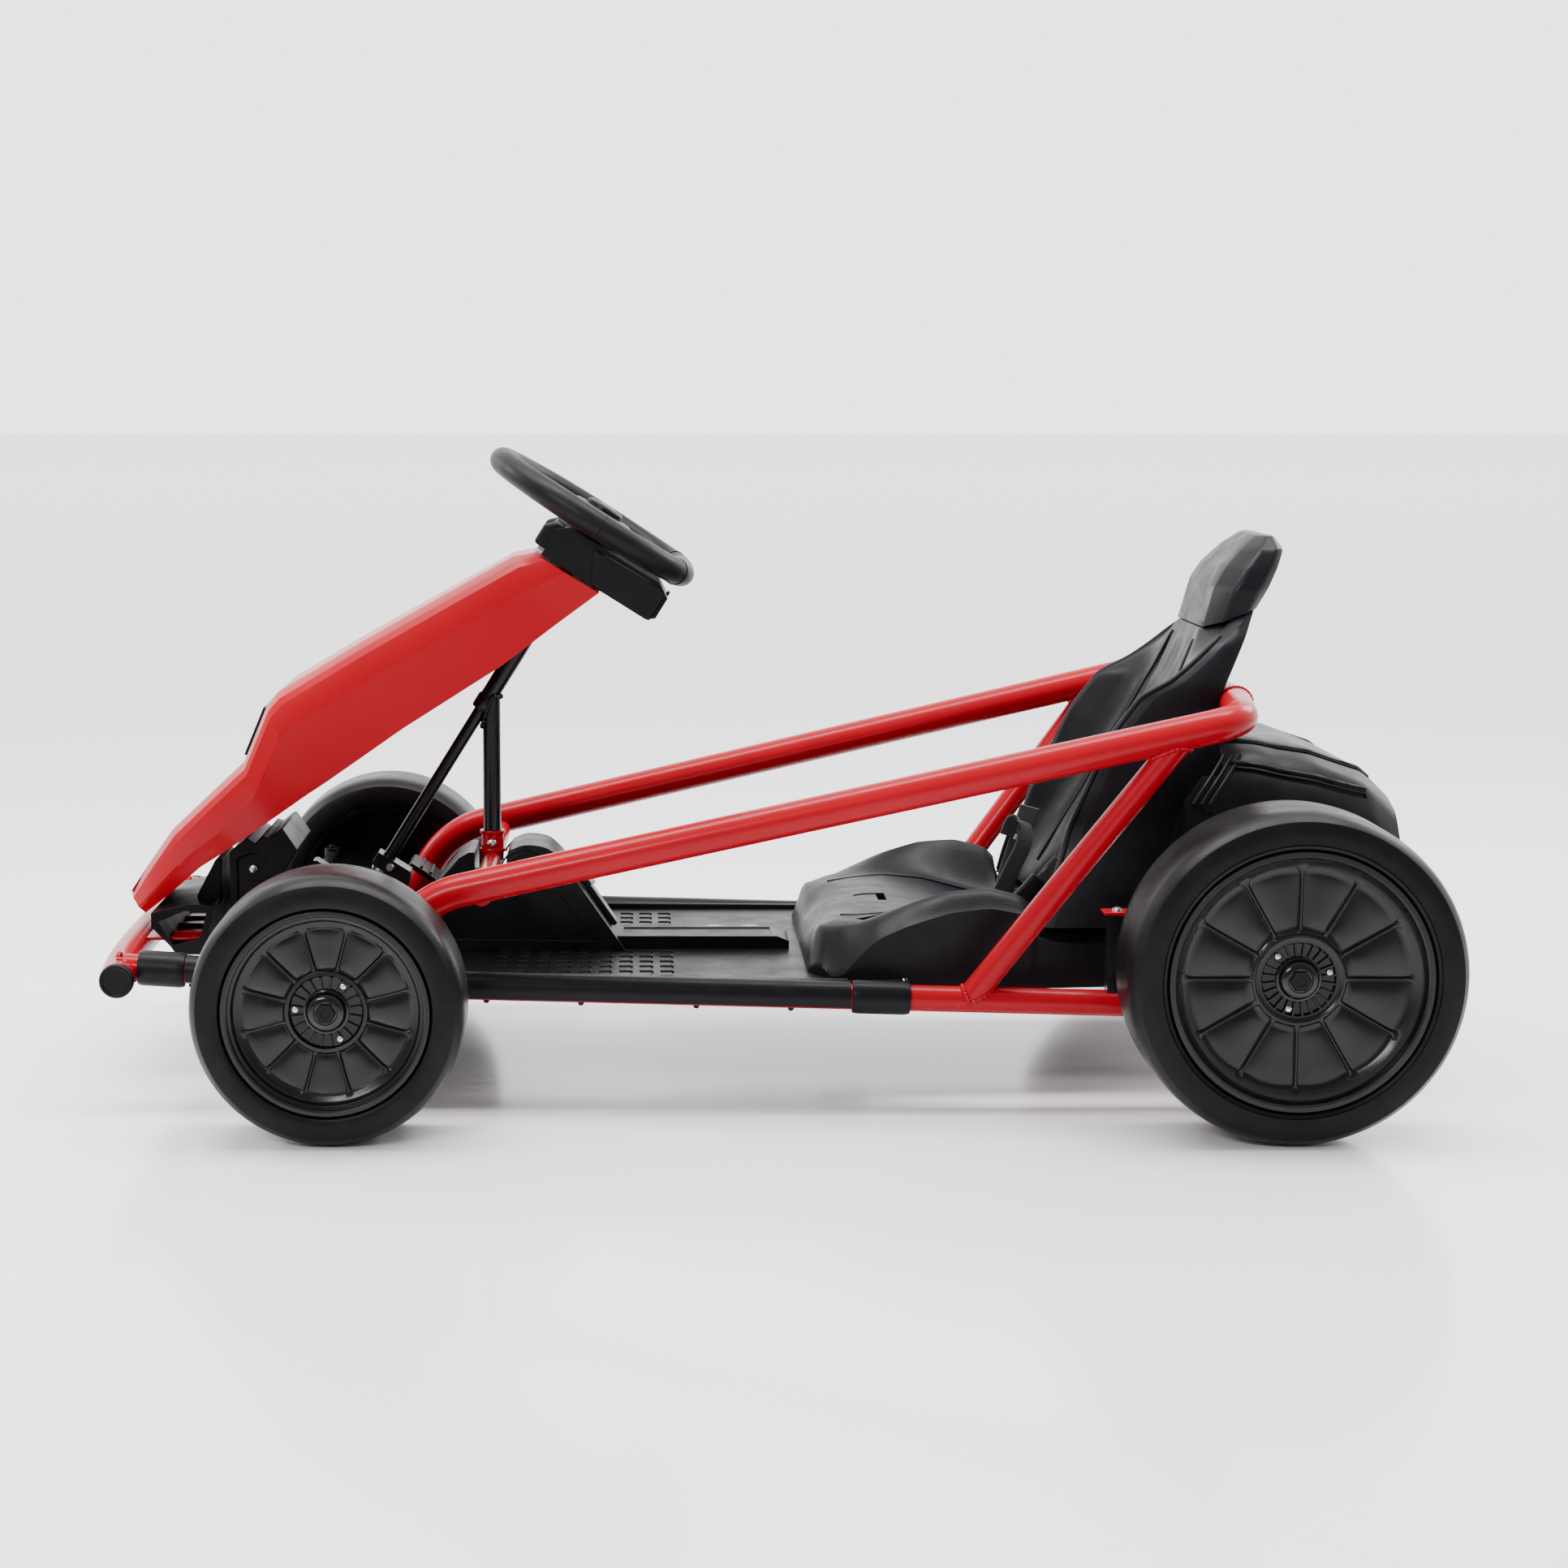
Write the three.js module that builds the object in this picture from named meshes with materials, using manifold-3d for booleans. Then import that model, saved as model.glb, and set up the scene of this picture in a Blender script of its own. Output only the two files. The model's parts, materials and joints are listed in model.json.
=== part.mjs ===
// A child's electric drift kart: tube frame, floor pan, steering, nose, seat, rear cover and wheels.
// Millimetres. The kart drives towards -X, the driver's left is -Y and +Z is up. The origin is on the
// ground, under the middle of the kart's bounding box.

import * as THREE from 'three';
import { mergeVertices } from 'three/addons/utils/BufferGeometryUtils.js';
import Module from 'manifold-3d';

const wasm = await Module();
wasm.setup();

// ---------------------------------------------------------------- driving dimensions

const GAP = 0.3;                      // clearance between pieces that touch

const FRONT_AXLE_X = -397;
const REAR_AXLE_X = 480;
const OVERALL_HALF_WIDTH = 362.5;
const FRONT_WHEEL = { radius: 125, width: 95, rimRadius: 95 };
const REAR_WHEEL = { radius: 154, width: 103, rimRadius: 120 };
const AXLE_RADIUS = 6;
const BORE_RADIUS = 6.5;

const RAIL_RADIUS = 12.5;             // lower rails and struts
const UPPER_RADIUS = 16;              // upper rails, rear hoop and bumper bar
const LOWER_RAIL_Y = 208;
const BUMPER_X = -618;
const BUMPER_Z = 130;
const BUMPER_SWEEP = 12;               // how far its ends lie behind its middle
const BUMPER_HALF_SPAN = 236;

const FLOOR_Z = 118;                  // top of the floor pan
const FLOOR_THICKNESS = 3;
const PAN_FRONT_X = -545;
const PAN_REAR_X = 143;
const RIM_RADIUS = 14.3;              // pan's edge, folded over the lower rails

const KINGPIN_Y = 245;
const KINGPIN_RADIUS = 4;
const STEERING_ARM = 58;              // kingpin to tie rod pin
const ARM_PIN_RADIUS = 3;
const TIE_ROD_Z = 168;

const COLUMN_TILT = THREE.MathUtils.degToRad(32);
const HUB = new THREE.Vector3(-155, 0, 551);   // centre of the steering wheel
const SHAFT_RADIUS = 6.5;
const SLEEVE_RADIUS = 9;
const SLEEVE_LOW = -222;              // sleeve's ends, along the column from the hub
const SLEEVE_HIGH = -58;
const PITMAN_LENGTH = 23.4;
const POST_X = -264;
const CROSS_TUBE_Z = 205;

const COLOURS = {
  red: 0xc2101f,
  black: 0x1c1b1e,
  charcoal: 0x2b2a2e,
  seat: 0x2e2d33,
  steel: 0xa9abb0,
  lens: 0xb9b9bf,
};

// ---------------------------------------------------------------- small helpers

const kart = new THREE.Group();

const FINISH = {
  paint: { roughness: 0.28, metalness: 0.1 },
  plastic: { roughness: 0.55, metalness: 0 },
  steel: { roughness: 0.35, metalness: 0.9 },
};

function addMesh(parent, name, geometry, colour, finish = FINISH.plastic) {
  const material = new THREE.MeshStandardMaterial({ color: colour, ...finish });
  const mesh = new THREE.Mesh(geometry, material);
  mesh.name = name;
  parent.add(mesh);
  return mesh;
}

const sides = [
  { name: 'left', sign: -1 },
  { name: 'right', sign: 1 },
];

// A stretch across the kart from its distances to the middle plane, lowest Y first.
function span(sign, near, far) {
  return sign > 0 ? [near, far] : [-far, -near];
}

// Closed geometry to manifold solid and back.
function toSolid(geometry) {
  const bare = geometry.index ? geometry.toNonIndexed() : geometry.clone();
  bare.deleteAttribute('normal');
  bare.deleteAttribute('uv');
  const merged = mergeVertices(bare, 1e-3);
  return new wasm.Manifold(new wasm.Mesh({
    numProp: 3,
    vertProperties: new Float32Array(merged.attributes.position.array),
    triVerts: new Uint32Array(merged.index.array),
  }));
}

function toGeometry(solid) {
  const mesh = solid.getMesh();
  const geometry = new THREE.BufferGeometry();
  geometry.setAttribute('position', new THREE.BufferAttribute(new Float32Array(mesh.vertProperties), 3));
  geometry.setIndex(new THREE.BufferAttribute(new Uint32Array(mesh.triVerts), 1));
  const flat = geometry.toNonIndexed();
  flat.computeVertexNormals();
  return flat;
}

function join(...geometries) {
  return toGeometry(geometries.map(toSolid).reduce((all, next) => all.add(next)));
}

function cut(geometry, ...tools) {
  return toGeometry(tools.map(toSolid).reduce((rest, tool) => rest.subtract(tool), toSolid(geometry)));
}

function box(x0, x1, y0, y1, z0, z1) {
  const geometry = new THREE.BoxGeometry(x1 - x0, y1 - y0, z1 - z0);
  return geometry.translate((x0 + x1) / 2, (y0 + y1) / 2, (z0 + z1) / 2);
}

// Outline in the XZ plane, extruded across the kart from y0 to y1.
function prism(outline, y0, y1) {
  const shape = new THREE.Shape(outline.map(([x, z]) => new THREE.Vector2(x, z)));
  const geometry = new THREE.ExtrudeGeometry(shape, { depth: y1 - y0, bevelEnabled: false });
  return geometry.rotateX(Math.PI / 2).translate(0, y1, 0);
}

function cylinderY(radius, y0, y1, x, z, segments = 24) {
  const geometry = new THREE.CylinderGeometry(radius, radius, y1 - y0, segments);
  return geometry.translate(x, (y0 + y1) / 2, z);
}

function cylinderZ(radius, z0, z1, x, y, segments = 20) {
  const geometry = new THREE.CylinderGeometry(radius, radius, z1 - z0, segments);
  return geometry.rotateX(Math.PI / 2).translate(x, y, (z0 + z1) / 2);
}

// A path through a list of stations, one station per step, for swept tubes.
class StationPath extends THREE.Curve {
  constructor(stations) {
    super();
    this.stations = stations;
  }
  getPoint(t) {
    const last = this.stations.length - 1;
    const scaled = THREE.MathUtils.clamp(t, 0, 1) * last;
    const index = Math.min(Math.floor(scaled), last - 1);
    return this.stations[index].clone().lerp(this.stations[index + 1], scaled - index);
  }
  getPointAt(u) {
    return this.getPoint(u);
  }
  getTangentAt(u) {
    const last = this.stations.length - 1;
    const index = Math.round(u * last);
    const at = this.stations[index];
    const back = at.clone().sub(this.stations[Math.max(index - 1, 0)]).normalize();
    const ahead = this.stations[Math.min(index + 1, last)].clone().sub(at).normalize();
    return back.add(ahead).normalize();
  }
}

// Stations of a polyline whose inner corners are rounded with arcs of the given bend radius.
function bentStations(corners, bendRadius, arcSteps = 5) {
  const stations = [corners[0]];
  for (let i = 1; i < corners.length - 1; i += 1) {
    const back = corners[i - 1].clone().sub(corners[i]).normalize();
    const ahead = corners[i + 1].clone().sub(corners[i]).normalize();
    const halfAngle = Math.acos(THREE.MathUtils.clamp(back.dot(ahead), -1, 1)) / 2;
    const reach = bendRadius / Math.tan(halfAngle);
    const towardsCentre = back.clone().add(ahead).normalize();
    const centre = corners[i].clone().addScaledVector(towardsCentre, bendRadius / Math.sin(halfAngle));
    const from = corners[i].clone().addScaledVector(back, reach).sub(centre);
    const to = corners[i].clone().addScaledVector(ahead, reach).sub(centre);
    const axis = from.clone().cross(to).normalize();
    const turn = from.angleTo(to);
    for (let step = 0; step <= arcSteps; step += 1) {
      stations.push(from.clone().applyAxisAngle(axis, turn * step / arcSteps).add(centre));
    }
  }
  stations.push(corners[corners.length - 1]);
  return stations;
}

// A solid round bar along stations, closed at both ends.
function sweep(stations, radius, halfSides = 7) {
  const section = new THREE.Shape();
  section.absarc(0, 0, radius, 0, Math.PI * 2);
  return new THREE.ExtrudeGeometry(section, {
    steps: stations.length - 1,
    curveSegments: halfSides,
    extrudePath: new StationPath(stations),
    bevelEnabled: false,
  });
}

// A closed body through rings of equal point count, each ring a closed loop of Vector3.
function loft(rings) {
  const count = rings[0].length;
  const last = (rings.length - 1) * count;
  const points = rings.flat();
  const faces = [];
  for (let first = 0; first < last; first += count) {
    for (let i = 0; i < count; i += 1) {
      const a = first + i;
      const b = first + (i + 1) % count;
      faces.push([a, b, b + count], [a, b + count, a + count]);
    }
  }
  for (const [a, b, c] of capFaces(rings[0])) {
    faces.push([c, b, a]);
  }
  for (const [a, b, c] of capFaces(rings[rings.length - 1])) {
    faces.push([last + a, last + b, last + c]);
  }
  const tetrahedron = ([a, b, c]) => points[a].dot(points[b].clone().cross(points[c]));
  const volume = faces.reduce((sum, face) => sum + tetrahedron(face), 0);
  const outward = volume > 0 ? faces : faces.map(([a, b, c]) => [c, b, a]);
  const coordinates = points.flatMap((point) => point.toArray());
  const geometry = new THREE.BufferGeometry();
  geometry.setAttribute('position', new THREE.Float32BufferAttribute(coordinates, 3));
  geometry.setIndex(outward.flat());
  return geometry;
}

// Triangles of a flat ring, wound the same way as the ring.
function capFaces(ring) {
  const normal = new THREE.Vector3();
  ring.forEach((point, i) => normal.add(point.clone().cross(ring[(i + 1) % ring.length])));
  normal.normalize();
  const liesAcross = Math.abs(normal.y) > 0.99;
  const across = new THREE.Vector3(liesAcross ? 1 : 0, liesAcross ? 0 : 1, 0).cross(normal).normalize();
  const up = normal.clone().cross(across);
  const flat = ring.map((point) => new THREE.Vector2(point.dot(across), point.dot(up)));
  return THREE.ShapeUtils.triangulateShape(flat, []);
}

// Moves a geometry from the column's own frame (Z along the shaft, hub at its origin) to the kart's.
function fromColumn(geometry) {
  return geometry.rotateY(COLUMN_TILT).translate(HUB.x, HUB.y, HUB.z);
}

const V = (x, y, z) => new THREE.Vector3(x, y, z);

// A half outline of [y, z] or [x, y] pairs, mirrored about the kart's middle plane into a closed ring.
function mirrored(half, toPoint) {
  const right = half.map(([across, other]) => toPoint(across, other));
  const offMiddle = half.filter(([across]) => across > 0).reverse();
  const left = offMiddle.map(([across, other]) => toPoint(-across, other));
  return [...right, ...left];
}

// ---------------------------------------------------------------- tube frame

const RAIL_BEND_X = -300;
const RAIL_FRONT_X = -608;
const RAIL_REAR_X = 588;
const lowerRailZ = (x) => 118.3 - (x > RAIL_BEND_X ? 0.026 : 0.062) * (x - RAIL_BEND_X);
const upperRailZ = (x) => 275.6 + 0.228 * x;
const upperRailY = (x) => 222.9 + 0.05 * x;

const onLowerRail = (x, sign) => V(x, sign * LOWER_RAIL_Y, lowerRailZ(x));
const onUpperRail = (x, sign) => V(x, sign * upperRailY(x), upperRailZ(x));

function lowerRail(sign, radius, x0 = RAIL_FRONT_X, x1 = RAIL_REAR_X) {
  const bend = x0 < RAIL_BEND_X && x1 > RAIL_BEND_X ? [RAIL_BEND_X] : [];
  return sweep([x0, ...bend, x1].map((x) => onLowerRail(x, sign)), radius);
}

// The rail's outside with its clearance, longer than the rail, for cutting what sits on it.
function railClearance(sign) {
  return lowerRail(sign, RAIL_RADIUS + GAP, RAIL_FRONT_X - 12, RAIL_REAR_X + 12);
}

const HOOP = { x: 466, z: 378, halfSpan: 112 };
const FRONT_BEND_RADIUS = 90;
const REAR_BEND_RADIUS = 40;

function upperRail(sign, radius) {
  const foot = V(-363, sign * LOWER_RAIL_Y, 133);
  const middle = onUpperRail(0, sign);
  const end = V(HOOP.x, sign * HOOP.halfSpan, HOOP.z);
  const front = bentStations([foot, onUpperRail(-320, sign), middle], FRONT_BEND_RADIUS, 4);
  const rear = bentStations([middle, onUpperRail(444, sign), end], REAR_BEND_RADIUS, 4);
  const inside = sign * (HOOP.halfSpan - 20);
  const edge = sign * HOOP.halfSpan;
  const beyond = box(430, 500, Math.min(inside, edge), Math.max(inside, edge), 350, 410);
  return cut(sweep([...front.slice(0, -1), ...rear.slice(1)], radius), beyond);
}

function bumperBar(radius, halfSpan) {
  const steps = 8;
  const stations = [];
  for (let i = 0; i <= steps; i += 1) {
    const y = halfSpan * (2 * i / steps - 1);
    stations.push(V(BUMPER_X + BUMPER_SWEEP * Math.abs(y / BUMPER_HALF_SPAN) ** 3, y, BUMPER_Z));
  }
  return sweep(stations, radius);
}

function straightBar(from, to, radius) {
  return sweep([from, to], radius);
}

function addRedMesh(name, geometry) {
  addMesh(kart, name, geometry, COLOURS.red, FINISH.paint);
}

// Brace between the lower and the upper rail.
function strut(sign) {
  const bar = straightBar(onLowerRail(199, sign), onUpperRail(393, sign), RAIL_RADIUS);
  return cut(bar, lowerRail(sign, RAIL_RADIUS + GAP), upperRail(sign, UPPER_RADIUS + GAP));
}

function rearHoop() {
  const reach = HOOP.halfSpan - GAP;
  return straightBar(V(HOOP.x, -reach, HOOP.z), V(HOOP.x, reach, HOOP.z), UPPER_RADIUS);
}

// Plug in the end of the bumper bar.
function bumperCap(sign) {
  const [y0, y1] = span(sign, BUMPER_HALF_SPAN - 5, BUMPER_HALF_SPAN + 8);
  const cap = cylinderY(UPPER_RADIUS, y0, y1, BUMPER_X + BUMPER_SWEEP, BUMPER_Z);
  return cut(cap, bumperBar(UPPER_RADIUS + 2, BUMPER_HALF_SPAN + GAP));
}

function addFrame() {
  for (const { name, sign } of sides) {
    addRedMesh(`lower_rail_${name}`, cut(lowerRail(sign, RAIL_RADIUS), bumperBar(UPPER_RADIUS + GAP, 230)));
    const upper = cut(upperRail(sign, UPPER_RADIUS), lowerRail(sign, RAIL_RADIUS + GAP));
    addRedMesh(`upper_rail_${name}`, upper);
    addRedMesh(`strut_${name}`, strut(sign));
  }
  addRedMesh('rear_hoop', rearHoop());
  addRedMesh('rear_cross_tube', rearCrossTube());
  addRedMesh('column_cross_tube', columnCrossTube());
  addRedMesh('front_bumper_bar', bumperWithPlate());
  for (const { name, sign } of sides) {
    addMesh(kart, `bumper_cap_${name}`, bumperCap(sign), COLOURS.black);
  }
}

const TRAY = { x0: 492, x1: 604, halfWidth: 95, z: 184 };

// Rear cross tube between the lower rails, with the battery tray on two legs.
function rearCrossTube() {
  const x = 575;
  const z = lowerRailZ(x);
  const tube = straightBar(onLowerRail(x, -1), onLowerRail(x, 1), RAIL_RADIUS);
  const legs = sides.map(({ sign }) => box(x - 5, x + 5, sign * 65 - 5, sign * 65 + 5, z, TRAY.z + 1));
  const tray = box(TRAY.x0, TRAY.x1, -TRAY.halfWidth, TRAY.halfWidth, TRAY.z, TRAY.z + 3);
  return cut(join(tube, tray, ...legs), lowerRail(-1, RAIL_RADIUS + GAP), lowerRail(1, RAIL_RADIUS + GAP));
}

// Cross tube between the upper rails with the socket that takes the column's post.
function columnCrossTube() {
  const tube = straightBar(V(POST_X, -207, CROSS_TUBE_Z), V(POST_X, 207, CROSS_TUBE_Z), 10);
  const socket = cylinderZ(11.5, CROSS_TUBE_Z, 236, POST_X, 0);
  const bore = cylinderZ(SLEEVE_RADIUS + GAP, CROSS_TUBE_Z + 11, 240, POST_X, 0);
  const rails = sides.map(({ sign }) => upperRail(sign, UPPER_RADIUS + GAP));
  return cut(join(tube, socket), bore, ...rails);
}

// ---------------------------------------------------------------- floor pan and its collars

const SPINE = { halfWidth: 28, top: 131, rear: 38 };
const PEDAL = { x: -290, z: 126, y0: 55, y1: 115, pinRadius: 3 };
const SLOTS = {
  firstX: -249,
  firstY: 43,
  pitchX: 20.2,
  pitchY: 24,
  columns: 9,
  rows: 6,
  length: 13,
  width: 11,
};

// Ear that carries the pedal's pin.
function pedalEar(y) {
  const foot = box(PEDAL.x - 7, PEDAL.x + 7, y, y + 4, FLOOR_Z - 1, PEDAL.z);
  const eye = cylinderY(7, y, y + 4, PEDAL.x, PEDAL.z);
  const hole = cylinderY(PEDAL.pinRadius + 0.4, y - 1, y + 5, PEDAL.x, PEDAL.z, 12);
  return cut(join(foot, eye), hole);
}

function floorPan() {
  const plate = box(PAN_FRONT_X, PAN_REAR_X, -204, 204, FLOOR_Z - FLOOR_THICKNESS, FLOOR_Z);
  const spine = box(-125, SPINE.rear, -SPINE.halfWidth, SPINE.halfWidth, FLOOR_Z - 1, SPINE.top);
  const hollow = box(-122, SPINE.rear - 3, -SPINE.halfWidth + 3, SPINE.halfWidth - 3, 100, SPINE.top - 3);
  const ears = [PEDAL.y0 - 6, PEDAL.y1 + 2].map(pedalEar);
  const rims = sides.map(({ sign }) => lowerRail(sign, RIM_RADIUS, PAN_FRONT_X, 86));
  const railBores = sides.map(({ sign }) => railClearance(sign));
  const belowRims = sides.map(({ sign }) => prism([
    [-560, 80], [160, 80], [160, lowerRailZ(160) - 7], [RAIL_BEND_X, lowerRailZ(RAIL_BEND_X) - 7],
    [-560, lowerRailZ(-560) - 7],
  ], sign * LOWER_RAIL_Y - 20, sign * LOWER_RAIL_Y + 20));
  const trimmedRims = rims.map((rim, i) => cut(rim, belowRims[i]));
  const feet = sides.map(({ sign }) => upperRail(sign, UPPER_RADIUS + 0.5));
  const whole = cut(join(plate, spine, ...trimmedRims, ...ears), hollow, ...railBores, ...feet);
  return cut(whole, ...slots());
}

// Ventilation slots either side of the spine: a grid of rectangular holes.
function slots() {
  const made = [];
  for (let column = 0; column < SLOTS.columns; column += 1) {
    const x = SLOTS.firstX + SLOTS.pitchX * column;
    for (let row = 0; row < SLOTS.rows; row += 1) {
      for (const { sign } of sides) {
        const y = sign * (SLOTS.firstY + SLOTS.pitchY * row);
        const slot = new THREE.BoxGeometry(SLOTS.length, SLOTS.width, FLOOR_THICKNESS + 4);
        made.push(slot.translate(x, y, FLOOR_Z - FLOOR_THICKNESS / 2));
      }
    }
  }
  return made;
}

// Plastic sleeve round the rail beside the seat, cut away over the pan.
function railCollar(sign) {
  const [y0, y1] = span(sign, 180, 204);
  const overPan = box(60, 160, y0, y1, 90, FLOOR_Z + GAP);
  return cut(lowerRail(sign, 16.5, 88, PAN_REAR_X), railClearance(sign), overPan);
}

function frontCollar(sign) {
  return cut(lowerRail(sign, 17, -590, -546), railClearance(sign));
}

function addFloor() {
  addMesh(kart, 'floor_pan', floorPan(), COLOURS.black);
  for (const { name, sign } of sides) {
    addMesh(kart, `rail_collar_${name}`, railCollar(sign), COLOURS.black);
    addMesh(kart, `front_collar_${name}`, frontCollar(sign), COLOURS.black);
  }
}

// ---------------------------------------------------------------- front axle, knuckles and tie rod

function frontAxleBeam() {
  const x0 = FRONT_AXLE_X - 12;
  const x1 = FRONT_AXLE_X + 12;
  const pieces = [box(x0, x1, -228, 228, 141, 159)];
  const holes = [];
  for (const { sign } of sides) {
    const [back0, back1] = span(sign, 225, 230);
    const [arm0, arm1] = span(sign, 225, 258);
    const [saddle0, saddle1] = span(sign, LOWER_RAIL_Y - 10, LOWER_RAIL_Y + 10);
    pieces.push(box(x0, x1, back0, back1, 94, 159));
    pieces.push(box(x0, x1, arm0, arm1, 94, 100));
    pieces.push(box(x0, x1, arm0, arm1, 152, 159));
    pieces.push(box(x0 + 2, x1 - 2, saddle0, saddle1, 128, 143));
    holes.push(cylinderZ(KINGPIN_RADIUS + 0.5, 80, 170, FRONT_AXLE_X, sign * KINGPIN_Y, 14));
    holes.push(lowerRail(sign, RIM_RADIUS + GAP));
  }
  const leg = prism([
    [-394, 144], [-372, 144], [-349, 181], [-347, 194.5],
    [-364, 190], [-366, 178], [-379, 158], [-394, 158],
  ], -13, 13);
  const block = fromColumn(box(-12, 26, -13, 13, -418, -404));
  const bore = fromColumn(cylinderZ(SHAFT_RADIUS + 0.6, -430, -390, 0, 0, 24));
  return cut(join(...pieces, leg, block), bore, ...holes);
}

function knuckle(sign) {
  const y = sign * KINGPIN_Y;
  const barrel = cylinderZ(11, 100.6, 151.4, FRONT_AXLE_X, y);
  const kingpin = cylinderZ(KINGPIN_RADIUS, 90, 163, FRONT_AXLE_X, y, 14);
  const [stub0, stub1] = span(sign, KINGPIN_Y, 348.5);
  const stub = cylinderY(AXLE_RADIUS, stub0, stub1, FRONT_AXLE_X, FRONT_WHEEL.radius, 16);
  const arm = prism([
    [-397, 117], [-424, 117], [-450, 146], [-464, 146], [-464, 156], [-446, 156], [-419, 131], [-397, 131],
  ], y - 6, y + 6);
  const pin = cylinderZ(ARM_PIN_RADIUS, 150, 180, FRONT_AXLE_X - STEERING_ARM, y, 12);
  return join(barrel, kingpin, stub, arm, pin);
}

// One track rod between the knuckle arms, with a slotted lug that the pitman pin works in.
function tieRod() {
  const x = FRONT_AXLE_X - STEERING_ARM;
  const rod = straightBar(V(x, -KINGPIN_Y + 4, TIE_ROD_Z), V(x, KINGPIN_Y - 4, TIE_ROD_Z), 6);
  const eyes = sides.map(({ sign }) => cylinderZ(8.5, 159, 177, x, sign * KINGPIN_Y, 16));
  const holes = sides.map(({ sign }) => cylinderZ(ARM_PIN_RADIUS + 0.5, 150, 185, x, sign * KINGPIN_Y, 12));
  const web = prism([[-461, 166], [-450, 166], [-437, 203], [-446, 206]], -11, 11);
  const plate = fromColumn(box(-62, -8, -11, 11, -450, -445));
  const slot = fromColumn(box(-31, -11, -4.4, 4.4, -455, -440));
  return cut(join(rod, web, plate, ...eyes), slot, ...holes);
}

// ---------------------------------------------------------------- steering column

function steeringShaft() {
  const shaft = cylinderZ(SHAFT_RADIUS, -440, -10.3, 0, 0);
  const pitman = box(-30, 8, -8, 8, -443, -437);
  const pin = cylinderZ(3, -453, -440, -PITMAN_LENGTH, 0, 14);
  return join(shaft, pitman, pin);
}

function columnSleeve() {
  return cut(cylinderZ(SLEEVE_RADIUS, SLEEVE_LOW, SLEEVE_HIGH, 0, 0),
    cylinderZ(SHAFT_RADIUS + 0.5, SLEEVE_LOW - 1, SLEEVE_HIGH + 1, 0, 0));
}

function columnPost() {
  const post = cylinderZ(SLEEVE_RADIUS, CROSS_TUBE_Z + 11.3, 376, POST_X, 0);
  return cut(post, fromColumn(cylinderZ(SLEEVE_RADIUS + GAP, -320, -100, 0, 0)));
}

const WHEEL_RIM = { radius: 126.5, flat: 111.5, halfDepth: 13.5, width: 29 };

// Outline of the steering wheel: a circle with a flat on the driver's side, grown outward by an offset.
function wheelOutline(offset, z) {
  const radius = WHEEL_RIM.radius + offset;
  const flat = WHEEL_RIM.flat + offset;
  const start = Math.acos(flat / radius);
  const steps = 22;
  const ring = [];
  for (let i = 0; i <= steps; i += 1) {
    const angle = start + (2 * Math.PI - 2 * start) * i / steps;
    ring.push(V(radius * Math.cos(angle), radius * Math.sin(angle), z));
  }
  return ring;
}

const BUTTON = { radius: 20, bottom: 8.5, top: 17 };

function steeringWheel() {
  const { halfDepth, width } = WHEEL_RIM;
  const outer = loft([
    wheelOutline(-7, -halfDepth), wheelOutline(0, -5), wheelOutline(0, 5), wheelOutline(-7, halfDepth),
  ]);
  const inner = loft([
    wheelOutline(5 - width, -halfDepth - 1), wheelOutline(-width, -4), wheelOutline(-width, 4),
    wheelOutline(5 - width, halfDepth + 1),
  ]);
  const rim = cut(outer, inner);
  const hub = cylinderZ(32, -10, 10, 0, 0, 28);
  const spokes = [
    box(-13, 15, -100, -20, -6, 5),
    box(-13, 15, 20, 100, -6, 5),
    box(18, 88, -17, 17, -6, 5),
  ];
  return cut(join(rim, hub, ...spokes), cylinderZ(BUTTON.radius + 0.4, 5.5, 12, 0, 0, 24));
}

function hornButton() {
  return cylinderZ(BUTTON.radius, BUTTON.bottom, BUTTON.top, 0, 0, 28);
}

function dashConsole() {
  const outline = [[-31, -56], [98, -56], [98, -26], [84, -18], [-20, -18], [-31, -26]];
  const body = prism(outline, -62, 62);
  const dome = cylinderZ(34, -56, -13, 0, 0, 28);
  const bore = cylinderZ(SHAFT_RADIUS + 1.5, -60, -5, 0, 0, 20);
  const pocket = box(89, 100, -10, 10, -47, -27);
  return cut(join(body, dome), bore, pocket);
}

function powerSwitch() {
  return prism([[92.5, -45.5], [98.6, -45.5], [96.8, -37], [98.6, -28.5], [92.5, -28.5]], -9, 9);
}

// ---------------------------------------------------------------- steering housing, pedal

function steeringHousing() {
  const foot = FLOOR_Z + GAP;
  const outer = prism([
    [-320, foot], [-320, 185], [-296, 213], [-286, 219], [-280, 219], [-280, 190],
    [-248, 190], [-248, 215], [-244, 221], [-232, 226], [-218, 226], [-205, 223],
    [-194, 213], [-178, 192], [-139, 134], [-128, foot],
  ], -40, 40);
  const inner = prism([
    [-317, 100], [-317, 183.8], [-294.5, 210], [-283, 215], [-283, 187], [-245, 187],
    [-245, 214], [-242, 218], [-231, 223], [-218, 223], [-206.5, 220], [-196.5, 211],
    [-180.5, 190], [-142, 133], [-133, 119], [-133, 100],
  ], -37, 37);
  return cut(outer, inner);
}

function acceleratorPedal() {
  const { x, z, y0, y1, pinRadius } = PEDAL;
  const barrel = cylinderY(2 * pinRadius, y0 - 1.5, y1 + 1.5, x, z, 16);
  const pin = cylinderY(pinRadius, y0 - 7, y1 + 7, x, z, 12);
  const plate = prism([
    [x - 1, z + 5.5], [x - 8, z + 2], [x - 40, z + 44],
    [x - 66, z + 62], [x - 62, z + 67], [x - 36, z + 48],
  ], y0, y1);
  return join(barrel, pin, plate);
}

// ---------------------------------------------------------------- nose

const PLATE = { x0: -607, x1: -548, halfWidth: 80, z0: 137, z1: 140 };

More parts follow.
